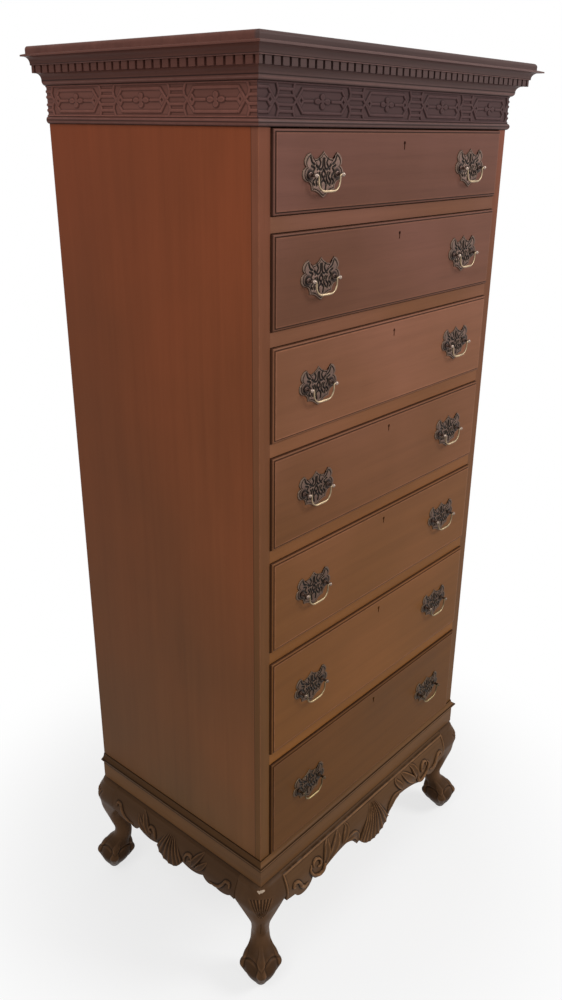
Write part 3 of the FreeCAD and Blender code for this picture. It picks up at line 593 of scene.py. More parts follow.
def swell(drop):
    """How far the stand's face is out of the case: a quarter-round cove, a quarter sine, then straight."""
    cove = COVE_OUT - (COVE_OUT - BAND_OUT) * np.sqrt(np.clip(1 - (drop / COVE_H) ** 2, 0, 1))
    share = np.clip((drop - COVE_H) / (SWELL_H - COVE_H), 0, 1)
    return np.where(drop < COVE_H, cove, COVE_OUT + (SWELL_OUT - COVE_OUT) * np.sin(share * np.pi / 2))


def bead_path(half, r):
    """Rows of the bead along the front apron's top, which turns down beside the knee and runs out."""
    top, thin, end = BEAD_DROPS
    turn = half - r - 1.5
    return ((0, top, r, r), (turn, top, r, r), (turn, thin, r, r * 0.6), (turn, end, 1.0, 0.2))


def apron_relief(s, drop, half, design, count, sizes):
    """Height of an apron's carving over the swelled face: a fluted shell, leaves, scrolls and a bead."""
    top, apex, half_angle = design["shell"]
    crest, inside = flutes(s, drop - apex, math.radians(half_angle), count)
    opening = smooth((drop - top) / SHELL_OPENING)
    inside = inside * smooth((drop - top) / 3)
    shell = sizes.shell_rise / MM * (0.35 + 0.65 * opening) - sizes.flute_depth / MM * (1 - crest)
    x = np.abs(s)
    forms = [leaf(x, drop, rows) for rows in design["leaves"]]
    forms += [ridge(x, drop, bent(rows) * (1, 1, 0.8, 1)) for rows in design["scrolls"]]
    if design["bead"]:
        forms.append(ridge(x, drop, bead_path(half, sizes.bead_r / MM)))
    carving = np.maximum(np.max(forms, axis=0), 0)
    return np.where(inside > 0, inside * np.maximum(shell, 0) + (1 - inside) * carving, carving)


def apron_shell(half, design, count, sizes, place):
    """Carved apron: the swelled face and its carving, down to a scrolled edge notched at the shell."""
    s = np.linspace(-half, half, int(2 * half / CARVE_STEP) | 1)[:, None]
    line = outline_points((0.0, design["lowest"]), design["edge"], (half, 1))
    lowest = np.interp(np.abs(s), line[:, 0], line[:, 1])
    apex, half_angle = design["shell"][1:]
    crest, inside = flutes(s, lowest - apex, math.radians(half_angle), count)
    lowest = lowest - SHELL_NOTCH * crest * inside
    share = np.linspace(0, 1, int(design["lowest"] / CARVE_STEP * 0.9))[None, :]
    drop = lowest * (1 - share)
    relief = apron_relief(s, drop, half, design, count, sizes)
    marks = marks_of(relief, 0.5)
    # Painted shade in the cove under the band.
    darken(marks, COVE_SHADE * smooth(1.0 - drop / COVE_H))
    return carved_board(s[:, 0], LEG_H - drop, swell(drop) + relief, marks, APRON_IN, place)


def leg_table():
    """Leg sections with the knee's added, whose outer sides stand out as the aprons do."""
    rows = list(LEG_SECTIONS)
    inner = KNEE_W + SEAT_CUT
    for drop in KNEE_DROPS:
        out = float(swell(np.array(drop)))
        rows.append((LEG_H - drop, (out - inner) / 2, (out + inner) / 2, KNEE_SQUARENESS))
    return rows


def toe_share(z, off):
    """Toes on the ball: ribs about their middles, wide and high at two knuckles and narrow at the nail."""
    knuckle = sum(np.exp(-((z - k) / KNUCKLE_HALF) ** 2) for k in KNUCKLES_Z)
    nail = smooth((NAIL_Z - z) / 8)
    width = np.radians(TOE_ANGLE + TOE_SWELL * (knuckle - nail))
    height = (0.7 + 0.42 * knuckle - 0.2 * nail) * smooth((TOE_TOP_Z - z) / 12) * smooth((z - 2) / 6)
    return height * np.sqrt(np.clip(1 - (off / width) ** 2, 0, 1))


def foot_relief(z, angle, radius):
    """Height of the foot's carving: four toes, and between them a web that ends in an arch over the ball."""
    off = np.abs(angle % (np.pi / 2) - np.pi / 4)
    between = smooth((TOE_TOP_Z - z) / 18) * smooth(z / 10) * (1 - toe_share(z, off))
    edge = z - BALL_EDGE_Z + BALL_EDGE_DROP * (1 - off / (np.pi / 4)) ** 2
    groove = BALL_GROOVE * np.exp(-(edge / BALL_GROOVE) ** 2)
    return -between * (radius * (0.16 - 0.05 * smooth(edge / 6)) + groove)


def knee_relief(z, across, facing, sizes):
    """Height of the knee's carving: a raised fan of flutes with a curved top edge."""
    crest, inside = flutes(across, z - FAN_APEX_Z, FAN_HALF_ANGLE, sizes.knee_flutes)
    reach = np.hypot(across, z - FAN_APEX_Z) + FAN_APEX_Z
    inside = inside * facing * smooth((FAN_Z[1] - reach) / FAN_EDGE) * smooth((reach - FAN_Z[0]) / 6)
    return inside * (FAN_RISE - sizes.knee_depth / MM * (1 - crest))


def chip_share(z, across):
    """Share of bare wood in a ragged chip: an ellipse whose size swings with the angle about its middle."""
    up = z - CHIP_Z
    turn = np.arctan2(up, across)
    ragged = 1 + 0.3 * np.sin(2 * turn + 0.7) + 0.22 * np.sin(5 * turn)
    away = np.hypot(across / CHIP_HALF[0], up / CHIP_HALF[1]) / ragged
    return smooth((1.1 - away) / 0.4)


def leg_shell(sx, sy, sizes, chipped):
    """Cabriole leg about a corner of the case.

    At each height the section is a superellipse, size / (|cos|ⁿ + |sin|ⁿ)^(1/n), about a point on the
    corner's diagonal, rounder on its outer corner. Flutes are cut in the knee, and toes stand on the ball of
    the foot.
    """
    z = np.concatenate([np.linspace(0, 92, 132), np.linspace(93, 160, 50), np.linspace(160.8, LEG_H, 92)])
    angle = turns(LEG_POINTS, -0.75 * np.pi)
    centre, size, power = (column[:, None] for column in read_table(z, leg_table()).T)
    z = z[:, None]
    cos, sin = np.cos(angle), np.sin(angle)
    power = np.where((cos > 0) & (sin > 0), np.minimum(power, OUTER_SQUARENESS), power)
    radius = size / (np.abs(cos) ** power + np.abs(sin) ** power) ** (1 / power)
    facing = smooth((np.cos(angle - np.pi / 4) - 0.2) * 3)
    across = radius * (sin - cos) / math.sqrt(2)
    relief = knee_relief(z, across, facing, sizes) + foot_relief(z, angle, radius)
    marks = marks_of(relief, 0.8)
    # Painted shade in the cove under the band.
    darken(marks, COVE_SHADE * smooth(1.0 - (LEG_H - z) / COVE_H))
    # The foot is darker towards the floor and the knee towards its top.
    darken(marks, FOOT_DARKENING * smooth((ANKLE_Z - z) / 30))
    darken(marks, KNEE_DARKENING * smooth((z - FAN_APEX_Z) / 30))
    if chipped:
        marks[..., 1] = np.maximum(marks[..., 1], 4.0 * facing * chip_share(z, across))
    radius = radius + relief
    seat = np.where(z > ANKLE_Z + 1, -KNEE_W, -1e3)
    x = np.maximum(centre + radius * cos, seat)
    y = np.maximum(centre + radius * sin, seat)
    corner_y = FACE_Y if sy < 0 else BACK_Y
    return np.stack([sx * (HALF_W + x), corner_y + sy * y, np.broadcast_to(z, x.shape)], axis=-1), marks


def plate_cuts(u, v):
    """Depth of a plate's cut lines as a share: 1 - d² over their half width, mirrored across the middle."""
    cuts = np.zeros(u.shape)
    for rows in PLATE_CUTS:
        share, _ = nearest(np.abs(u), v, bent([(a, b, CUT_HALF, 1) for a, b in rows]))
        cuts = np.maximum(cuts, np.clip(1 - share ** 2, 0, 1))
    return cuts


def plate_shell(centre, sizes):
    """Back plate of a pull: rings from its middle to its outline, with lines cut in and a bevelled edge."""
    right = outline_points((0.0, -PLATE_HALF[1]), PLATE_OUTLINE, PLATE_HALF, 15)
    outline = np.vstack([right, right[-2:0:-1] * (-1, 1)])
    share = np.concatenate([np.linspace(0.02, 0.985, PLATE_RINGS), [1.0, 1.0, 0.5, 0.02]])[:, None]
    u = share * outline[:, 0]
    v = share * outline[:, 1]
    middle, half, depth = PLATE_LINE
    cuts = np.maximum(plate_cuts(u, v), np.clip(1 - ((share - middle) / half) ** 2, 0, 1) * depth)
    out = PLATE_T - sizes.cut_depth / MM * cuts
    out[-4] = PLATE_T * 0.5
    out[-3:] = 0.0
    marks = marks_of(np.where(share < 1, -cuts, -0.2), 0.7, 4)
    # The cuts are painted nearly black: tarnish and painted shade.
    darken(marks, cuts ** 0.25)
    # Painted shade round each post's foot.
    reach, edge, post_shade_share = POST_SHADE
    darken(marks, post_shade_share * smooth((reach - np.hypot(np.abs(u) - POST_SPACING / 2, v)) / edge))
    marks[-5:-3] = (0.0, 0.5)
    # The edge's foot against the wood is painted dark, as a painted shadow line.
    marks[-3:] = (0.6, 0.0)
    return np.stack([centre[0] + u, FIELD_Y - out, centre[2] + v], axis=-1), marks


def lathe(profile, x, z):
    """Turned piece about a line along Y: at each distance out of the drawer's field a circle."""
    out, radius, worn = (column[:, None] for column in np.array(profile, float).T)
    angle = turns(ROUND_POINTS)
    ones = np.ones_like(angle)
    loops = np.stack([x + radius * np.cos(angle), FIELD_Y - out * ones, z + radius * np.sin(angle)], axis=-1)
    # Unworn parts of a post, its shank, collar and neck, are painted half dark, as painted shade.
    return loops, np.stack([0.5 * (1 - worn) * ones, worn * ones], axis=-1)


def post_profile():
    """Shank, collar and neck, then a ball, which is an arc of a circle, with a small button at its tip."""
    swing = np.linspace(math.radians(-50), math.radians(78), BALL_RINGS)
    ball = np.column_stack([BALL_OUT + BALL_R * np.sin(swing), BALL_R * np.cos(swing), np.ones(BALL_RINGS)])
    tip = [(BALL_OUT + BALL_R + out, radius, 1.0) for out, radius in BALL_TIP]
    return np.vstack([POST_PROFILE, ball, tip])


def nut_shell(x, z):
    """Square nut on a post's tail: squares about the post, the outer one smaller for a bevel."""
    half = np.array([NUT_W / 2, NUT_W / 2, NUT_W / 2 - NUT_BEVEL[0]])[:, None]
    depth = np.array([0.0, NUT_T - NUT_BEVEL[1], NUT_T])[:, None] * np.ones(4)
    across, up = SQUARE.T
    return plain(np.stack([x + half * across, FIELD_Y + FRONT_T + depth, z + half * up], axis=-1))


def lock_shell(top):
    """Lock case let into the front's back: rectangles up its outside, then down a well for its bolt."""
    width, thick, height = LOCK_SIZE
    half = np.array([(width / 2, thick / 2)] * 2 + [LOCK_WELL] * 2)[:, None, :]
    level = np.array([top - height, top, top, top - LOCK_FLOOR])[:, None] * np.ones(4)
    x, y = np.moveaxis(half * SQUARE, -1, 0)
    return plain(np.stack([x, FIELD_Y + FRONT_T - thick / 2 + y, level], axis=-1))


def bail_path():
    """Middle line of a bail in X and Z about its pivots, with its radius, which swells along the grip."""
    corner = BAIL_ARM - BAIL_CORNER
    bulge = 1 - math.sin(math.pi / 4)
    half = outline_points((-PIN_END, 0.0), (
        (-BAIL_ARM - BAIL_BEND, 0.0),
        (-BAIL_ARM - BAIL_BEND * bulge, -BAIL_BEND * bulge, -BAIL_ARM, -BAIL_BEND),
        (-BAIL_ARM, BAIL_CORNER - BAIL_DROP),
        (-BAIL_ARM + BAIL_CORNER * bulge, BAIL_CORNER * bulge - BAIL_DROP, -corner, -BAIL_DROP),
        (0.0, -BAIL_DROP),
    ), 1, 10)
    path = np.vstack([half, half[-2::-1] * (-1, 1)])
    grip = np.sqrt(np.clip(1 - (path[:, 0] / (corner + 5)) ** 2, 0, 1))
    return path, ROD_R + (GRIP_R - ROD_R) * grip * (path[:, 1] < BAIL_CORNER - BAIL_DROP)


def bail_shell(pivot, dulled):
    """Hanging loop: circles carried along the bail's middle line, which lies in the plane of the pivots.

    Its arms are dulled towards the pivots, where no hand rubs them.
    """
    path, radius = bail_path()
    along = np.gradient(path, axis=0)
    along /= np.hypot(*along.T)[:, None]
    normal = along[:, ::-1] * (1, -1)
    angle = turns(BAIL_POINTS)
    side = radius[:, None] * np.cos(angle)
    loops, marks = plain(np.stack([
        pivot[0] + path[:, :1] + normal[:, :1] * side,
        pivot[1] + radius[:, None] * np.sin(angle),
        pivot[2] + path[:, 1:] + normal[:, 1:] * side,
    ], axis=-1))
    darken(marks, dulled * smooth((path[:, 1:] + BAIL_DROP - 3) / 9))
    return loops, marks


def pivots(drawer):
    """Middle of each bail's pivot line on a drawer, by side, read from the joints."""
    joints = {joint["name"]: joint for joint in frame["joints"]}
    swings = {side: joints["drawer_%d_bail_%s_swing" % (drawer, side)] for side, _ in SIDES}
    return {side: np.array(swing["pos_m"]) / MM for side, swing in swings.items()}


def dimmed_towards_floor(number, upper, lower):
    """Values of a drawer's brasses between the top drawer's and the bottom one's, by its place squared. The
    lower drawers' brasses are painted darker, as painted shade.
    """
    low = ((number - 1) / (len(DRAWERS) - 1)) ** 2
    return [a + (b - a) * low for a, b in zip(upper, lower)]


def feed(node, sockets):
    """Fill a node's inputs, by name or place, each with a value or a link from the output given for it."""
    for key, value in sockets.items():
        if isinstance(value, bpy.types.NodeSocket):
            node.id_data.links.new(value, node.inputs[key])
        else:
            node.inputs[key].default_value = value


def add_node(tree, kind, *values, out=0, sockets=None, **settings):
    """Add a shader node with its settings and links, and give one of its outputs.

    values fill its inputs in their own order, sockets by name or place.
    """
    made = tree.nodes.new("ShaderNode" + kind)
    for key, value in settings.items():
        setattr(made, key, value)
    feed(made, dict(enumerate(values)) | (sockets or {}))
    return made.outputs[out]


def new_material(name):
    """New material, the function that adds a node to it, its Principled shader and Object coordinates."""
    material = bpy.data.materials.new(name)
    material.use_nodes = True
    add = functools.partial(add_node, material.node_tree)
    return material, add, material.node_tree.nodes["Principled BSDF"], add("TexCoord", out="Object")


def shade(colour, factor=1.0):
    """A colour with its brightness changed, as four channels."""
    return tuple(min(c * factor, 1.0) for c in colour[:3]) + (1.0,)


# Grain runs along X on rails and fronts, along Z on uprights, along Y on drawer sides, and along the run of
# a mitred moulding, where x + y grows on every side. Each entry turns a point about Z, then scales it per
# metre: figure streaks are 420 mm long and 16 mm wide.
LONG, WIDE = 1 / 0.42, 1 / 0.016
GRAIN = {
    "x": (0.0, (LONG, WIDE, WIDE)),
    "y": (0.0, (WIDE, LONG, WIDE)),
    "z": (0.0, (WIDE, WIDE, LONG)),
    "run": (-math.pi / 4, (LONG, 0.0, WIDE)),
}
# Width of the clouds of tone in polished wood, of patches of wear and of stains on brass, in metres
CLOUD_W = 0.3
PATCH_W = 0.012
STAIN_W = 0.008
# Height over which clouds spread the change from one colour to the other, in metres
CLOUD_EDGE = 0.5


def wood_pattern(add, place, grain, seed, contrast):
    """Share of light in polished wood, and its pores and clouds.

    Streaks along the grain, clouds of tone, and pores, which are 0.2 mm wide and drawn 1.8 mm wide to show,
    multiply.
    """
    turn, scale = GRAIN[grain]
    turned = add("Mapping", place, sockets={"Rotation": (0, 0, turn)})
    streak = {"Location": (seed * 3.1, seed * 1.7, seed * 2.3), "Scale": scale}
    streak = add("Mapping", turned, sockets=streak)
    figure = {"Scale": 1.0, "Detail": 5.0, "Roughness": 0.6, "Distortion": 0.4}
    figure = add("TexNoise", streak, sockets=figure)
    fine = add("Mapping", streak, sockets={"Scale": (9, 9, 9)})
    pores = add("TexNoise", fine, sockets={"Scale": 1.0, "Detail": 2.0})
    away = add("Mapping", place, sockets={"Location": (seed, seed, seed)})
    cloud = add("TexNoise", away, sockets={"Scale": 1 / CLOUD_W, "Detail": 3.0})
    light = add("MapRange", figure, 0.3, 0.7, 1 - 0.2 * contrast, 1 + 0.2 * contrast)
    clouds = add("MapRange", cloud, 0.35, 0.65, 0.91, 1.09)
    dark = add("MapRange", pores, 0.56, 0.7, 1.0, 1 - 0.16 * contrast)
    for share in (clouds, dark):
        light = add("Math", light, share, operation="MULTIPLY")
    return light, pores, cloud


def height_share(power):
    """Share of the first of two colours: a power of the height up the case, with a cloudy edge. It paints
    the wood darker towards the floor, as painted shade.
    """

    def share(add, place, cloud):
        height = add("SeparateXYZ", place, out="Z")
        height = add("Math", cloud, CLOUD_EDGE, height, operation="MULTIPLY_ADD")
        low, high = (level * MM + CLOUD_EDGE / 2 for level in (CASE_LOW, CASE_HIGH))
        height = add("MapRange", height, low, high)
        return add("Math", height, power, operation="POWER")

    return share


def mitre_share(add, place, cloud):
    """Share of the first of two colours on a moulding: 1 along the sides and 0 along the front. The two
    colours are lit and shaded copies of one wood, painted light and shade.
    """
    x, y, _ = add("SeparateXYZ", place).node.outputs
    across = add("Math", x, operation="ABSOLUTE")
    past = add("Math", across, y, operation="ADD")
    mitre = HALF_W + FACE_Y
    return add("MapRange", past, mitre * MM, (mitre + 0.4) * MM)


def lip_share(add, place, cloud):
    """Share of the first of two colours on the top board: 0 on its front edge and 1 behind that. The front
    edge is painted darker, as painted shade.
    """
    behind = add("SeparateXYZ", place, out="Y")
    return add("MapRange", behind, (LIP_Y + 5) * MM, (LIP_Y + 9) * MM)


def mahogany(name, upper, lower, grain, seed, marks=None, contrast=0.5, painted_shade_share=height_share(2.0)):
    """Polished old mahogany: a soft ribbon figure, cloudy tone, fine dark pores and a satin finish.

    Its colour changes from one near the top of the case to another near the floor, or from the sides to the
    front, as painted light and shade.
    Marks give how pale each point is, from wear and painted highlights, and how dark, from old polish and
    painted shade.
    """
    material, add, shader, place = new_material(name)
    light, pores, cloud = wood_pattern(add, place, grain, seed, contrast)
    base = {0: painted_shade_share(add, place, cloud), 6: shade(lower), 7: shade(upper)}
    base = add("Mix", out=2, sockets=base, data_type="RGBA")
    base = add("VectorMath", base, sockets={"Scale": light}, operation="SCALE")
    if marks:
        worn, dark = marks(add, place)
        bare = add("MapRange", worn, 1.05, 1.6, 0.0, 0.7)
        patchy = add("TexNoise", place, sockets={"Scale": 1 / PATCH_W, "Detail": 3.0})
        patchy = add("MapRange", patchy, 0.35, 0.6, 0.4, 1.0)
        worn = add("Math", worn, patchy, operation="MULTIPLY", use_clamp=True)
        middle = [(a + b) / 2 for a, b in zip(upper, lower)]
        tones = (shade(middle, 0.2), shade(middle, 2.1), shade(linear(BARE_WOOD)))
        for share, tone in zip((dark, worn, bare), tones):
            base = add("Mix", out=2, sockets={0: share, 6: base, 7: tone}, data_type="RGBA")
    satin = add("MapRange", cloud, 0.3, 0.7, 0.37, 0.48)
    bump = add("Bump", sockets={"Height": pores, "Strength": 0.12, "Distance": 0.0004})
    feed(shader, {"Base Color": base, "Roughness": satin, "Specular IOR Level": 0.045, "Normal": bump})
    return material


def carving_marks(wear, polish):
    """Marks for carving: wear and painted highlights on its edges, old polish and painted shade in its
    hollows, from the piece's attributes.
    """

    def marks(add, place):
        shares = []
        for name, amount in (("worn", wear), ("hollow", polish)):
            share = add("Attribute", out="Fac", attribute_name=name)
            shares.append(add("Math", share, amount, operation="MULTIPLY"))
        return shares

    return marks


def rim_marks(low, high):
    """Marks for one drawer front, by distance in from its edges.

    A dark line of painted shadow follows its edge and another the step to its field, and a pale line of wear
    and painted highlight lies inside that.
    """

    def marks(add, place):
        x, y, z = add("SeparateXYZ", place).node.outputs
        z = add("Math", z, (low[2] + high[2]) / 2 * MM, operation="SUBTRACT")
        past = []
        for axis, half in ((x, high[0]), (z, (high[2] - low[2]) / 2)):
            away = add("Math", axis, operation="ABSOLUTE")
            past.append(add("Math", away, half * MM, operation="SUBTRACT"))
        edge = add("Math", *past, operation="MAXIMUM")
        lines = []
        for inside, half, end, amount in ((RIM_W - 0.9, 0.5, 1.1, 0.95), (RIM_W + 0.9, 0.3, 1.1, 0.3)):
            line = add("Math", edge, inside * MM, operation="ADD")
            line = add("Math", line, operation="ABSOLUTE")
            lines.append(add("MapRange", line, half * MM, end * MM, amount, 0.0))
        step, field = lines
        outer = add("MapRange", edge, -1.1 * MM, -0.4 * MM, 0.0, 0.8)
        near = add("MapRange", y, (FACE_Y + 3) * MM, (FACE_Y + 1) * MM)
        outer = add("Math", outer, near, operation="MULTIPLY")
        return field, add("Math", step, outer, operation="MAXIMUM")

    return marks


def corner_marks(add, place):
    """Marks for the case's uprights: wear along the front corners, and a dark joint behind each front strip.

    The sides also get painted shade towards the back.
    """
    x, y, _ = add("SeparateXYZ", place).node.outputs
    across = add("Math", x, operation="ABSOLUTE")
    across = add("MapRange", across, (HALF_W - CORNER_WEAR) * MM, HALF_W * MM, 0.0, 0.6)
    front = add("MapRange", y, (FACE_Y + CORNER_WEAR) * MM, FACE_Y * MM, 0.0, 0.6)
    worn = add("Math", across, front, operation="MULTIPLY")
    joint = add("Math", y, STILE_Y * MM, operation="SUBTRACT")
    joint = add("Math", joint, operation="ABSOLUTE")
    joint = add("MapRange", joint, 0.3 * MM, 0.9 * MM, 0.6, 0.0)
    # Painted shade, darker towards the back of the sides.
    behind = add("MapRange", y, FACE_Y * MM, BACK_Y * MM, 0.0, 0.24)
    return worn, add("Math", joint, behind, operation="MAXIMUM")


def level_marks(dark_levels, pale_levels):
    """Marks for mouldings: old polish and painted shade in the quirks, wear and painted highlights on the
    edges, as heights and half widths.
    """

    def marks(add, place):
        height = add("SeparateXYZ", place, out="Z")
        bands = []
        for levels, amount in ((pale_levels, 0.35), (dark_levels, 0.85)):
            low, high = min(levels)[0] - 5, max(levels)[0] + 5
            band = add("ValToRGB", add("MapRange", height, low * MM, high * MM))
            stops = band.node.color_ramp.elements
            stops[0].color = stops[1].color = (0, 0, 0, 1)
            for level, half in levels:
                ends = ((-half - 0.5, 0.0), (-half, amount), (half, amount), (half + 0.5, 0.0))
                for offset, value in ends:
                    stops.new((level + offset - low) / (high - low)).color = (value, value, value, 1)
            bands.append(band)
        return bands

    return marks


def lining_wood(name, colour, grain, seed, board=None):
    """Planed, unpolished pine: pale and matt, with darker growth bands and joints between boards."""
    material, add, shader, place = new_material(name)
    streak = {"Location": (seed, seed, seed), "Scale": GRAIN[grain][1]}
    streak = add("Mapping", place, sockets=streak)
    figure = add("TexNoise", streak, sockets={"Scale": 1.0, "Detail": 4.0, "Distortion": 0.6})
    base = add("ValToRGB", figure)
    first, last = base.node.color_ramp.elements
    first.position, first.color = 0.35, shade(colour, 0.72)
    last.position, last.color = 0.65, shade(colour, 1.12)
    if board:
        across = add("SeparateXYZ", place, out="X")
        joint = add("Math", across, board / 2 * MM, operation="PINGPONG")
        joint = add("MapRange", joint, 0.4 * MM, 1.2 * MM, 0.8, 0.0)
        joint = {0: joint, 6: base, 7: shade(colour, 0.15)}
        base = add("Mix", out=2, sockets=joint, data_type="RGBA")
    bump = add("Bump", sockets={"Height": figure, "Strength": 0.15, "Distance": 0.0005})
    feed(shader, {"Base Color": base, "Roughness": 0.72, "Specular IOR Level": 0.3, "Normal": bump})
    return material


def cast_brass(name, colour, rough, pale):
    """Cast brass: rubbed pale on its edges, brown tarnish and painted shade in its hollows, and stains over
    all.
    """
    material, add, shader, place = new_material(name)
    stain = {"Scale": 1 / STAIN_W, "Detail": 4.0, "Roughness": 0.65}
    stain = add("TexNoise", place, sockets=stain)
    base = add("ValToRGB", stain)
    first, last = base.node.color_ramp.elements
    first.position, first.color = 0.35, shade(colour, 0.75)
    last.position, last.color = 0.65, shade(colour, 1.15)
    for mark, tone in (("hollow", shade(colour, 0.04)), ("worn", shade(pale))):
        share = add("Attribute", out="Fac", attribute_name=mark)
        base = add("Mix", out=2, sockets={0: share, 6: base, 7: tone}, data_type="RGBA")
    dull = add("MapRange", stain, 0.3, 0.7, rough - 0.06, rough + 0.1)
    bump = add("Bump", sockets={"Height": stain, "Strength": 0.08, "Distance": 0.0003})
    feed(shader, {"Base Color": base, "Metallic": 0.9, "Roughness": dull, "Normal": bump})
    return material


def filed_steel(name, colour):
    """Filed steel: dull grey with fine scratches along the bolt, 0.3 mm apart and 10 mm long."""
    material, add, shader, place = new_material(name)
    lines = add("Mapping", place, sockets={"Scale": (1 / 0.0003, 1 / 0.0003, 1 / 0.01)})
    scratch = add("TexNoise", lines, sockets={"Scale": 1.0, "Detail": 2.0})
    base = add("ValToRGB", scratch)
    first, last = base.node.color_ramp.elements
    first.color, last.color = shade(colour, 0.75), shade(colour, 1.1)
    feed(shader, {"Base Color": base, "Metallic": 1.0, "Roughness": 0.45})
    return material


def dress(material, *nodes):
    """Give CAD nodes a material in place of their plain one."""
    for name in nodes:
        mesh = frame["nodes"][name].data
        mesh.materials.clear()
        mesh.materials.append(material)


class SEMAINIER_OT_case(bpy.types.Operator):
    """Finish the case's boards, rails and mouldings"""

    bl_idname = "semainier.case"
    bl_label = "Case"

    def execute(self, context):
        colours = context.scene.semainier_colours
        self.uprights(colours)
        self.mouldings(colours)
        pine = colours.lining
        dress(lining_wood("pine_runners", pine, "y", 1.0), "drawer_runners")
        dress(lining_wood("pine_boards", pine, "x", 2.0), "dust_panels", "drawer_stops", "bottom_board")
        dress(lining_wood("pine_back", pine, "z", 3.0, BACK_BOARD), "back_panel")
        return {"FINISHED"}

    def uprights(self, colours):
        """Sides, front strips and rails. The strips' colour is between the sides' and the fronts'."""
        sides = (colours.side_upper, colours.side_lower)
        fronts = (colours.front_upper, colours.front_lower)
        strips = [[(a + b) / 2 for a, b in zip(*pair)] for pair in zip(sides, fronts)]
        # The rails' tones are painted light: the lower one lifts the shaded lower colour back up.
        rails = [shade(colour, tone) for colour, tone in zip(fronts, RAIL_LIGHT_TONES)]
        # The sides are painted darker towards the floor, as painted shade.
        painted_shade_share = height_share(0.8)
        dress(mahogany("mahogany_sides", *sides, "z", 1.0, corner_marks, 0.35, painted_shade_share), "side_panels")
        dress(mahogany("mahogany_stiles", *strips, "z", 2.0, corner_marks, 0.4), "front_stiles")
        dress(mahogany("mahogany_rails", *rails, "x", 3.0, None, 0.45), "drawer_rails", "frieze_rail")

    def mouldings(self, colours):
        """Top board, cornice, dentils, bead, waist and band, with dark quirks and pale edges. The cornice's
        front and the waist's sides are painted as shaded copies of their wood.
        """
        ovolo, bead, waist = FRET_HIGH[2], FRET_LOW[2], CASE_LOW
        dentils = ((DENTIL_LOW + DENTIL_HIGH) / 2, (DENTIL_HIGH - DENTIL_LOW) / 2 - 0.6)
        # Dark bands are old polish and painted shade in the quirks. Behind the dentils they paint the shade
        # between the teeth, and on the bead the shade of steps it doesn't have. Pale bands are wear and
        # painted highlights, and the wide one on the cove under the lip is a painted highlight.
        edges = level_marks(((TOP_LOW, 0.5),), ((TOP_LOW + 4.0, 0.4), (TOP_LOW + 8.0, 0.8)))
        quirks = level_marks(
            ((ovolo, 0.7), (ovolo + 6.5, 0.5), dentils, (DENTIL_HIGH + 1.4, 0.3), (TOP_LOW - 4.0, 0.4)),
            ((ovolo + 3.5, 0.6), (TOP_LOW - 9.0, 2.0), (TOP_LOW - 2.0, 0.6)),
        )
        beads = level_marks(
            ((bead, 0.7), (bead - 5.0, 0.4), (bead - 10.0, 0.6)),
            ((bead - 2.5, 0.5), (bead - 7.5, 0.5)),
        )
        nosing = level_marks(
            ((waist + 0.4, 0.4), (waist + 12.6, 0.3), (waist + 21.8, 0.5)),
            ((waist + 11, 0.6),),
        )
        # Painted light and shade: cornice, dentils and bead are a shaded copy along the front, the top
        # board's front edge darker still, the cornice's cove lighter as a painted highlight, and the waist a
        # shaded copy along the sides.
        red, dull, brown = colours.cornice, colours.cornice_front, colours.stand
        for node, name, pair, grain, seed, marks, contrast, painted_shade_share in (
            ("top_board", "top", (red, shade(dull, 0.8)), "x", 4.0, edges, 0.8, lip_share),
            ("cornice_molding", "cornice", (red, shade(dull, 1.3)), "run", 5.0, quirks, 0.7, mitre_share),
            ("dentil_molding", "dentils", (red, dull), "run", 5.5, None, 0.7, mitre_share),
            ("frieze_bead", "bead", (red, dull), "run", 5.7, beads, 0.7, mitre_share),
            ("waist_molding", "waist", (shade(brown, 0.56), brown), "run", 6.0, nosing, 0.5, mitre_share),
            ("base_frame", "band", (brown, brown), "run", 6.5, None, 0.5, height_share(2.0)),
        ):
            dress(mahogany("mahogany_" + name, *pair, grain, seed, marks, contrast, painted_shade_share), node)


class SEMAINIER_OT_drawers(bpy.types.Operator):
    """Finish each drawer's front, box and lock bolt"""

    bl_idname = "semainier.drawers"
    bl_label = "Drawers"

    def execute(self, context):
        colours = context.scene.semainier_colours
        box_wood = lining_wood("pine_drawers", colours.lining, "y", 4.0)
        steel = filed_steel("filed_steel", colours.steel)
        # Each front's brightness tone is painted light and shade.
        for number, tone in zip(DRAWERS, DRAWER_LIGHT_TONES):
            drawer = "drawer_%d" % number
            pair = (shade(colours.front_upper, tone), shade(colours.front_lower, tone))
            marks = rim_marks(*box_mm(drawer + "_front"))
            dress(mahogany("mahogany_" + drawer, *pair, "x", 10.0 + number, marks, 0.38), drawer + "_front")
            dress(box_wood, drawer + "_box")
            dress(steel, drawer + "_lock_bolt")
        return {"FINISHED"}


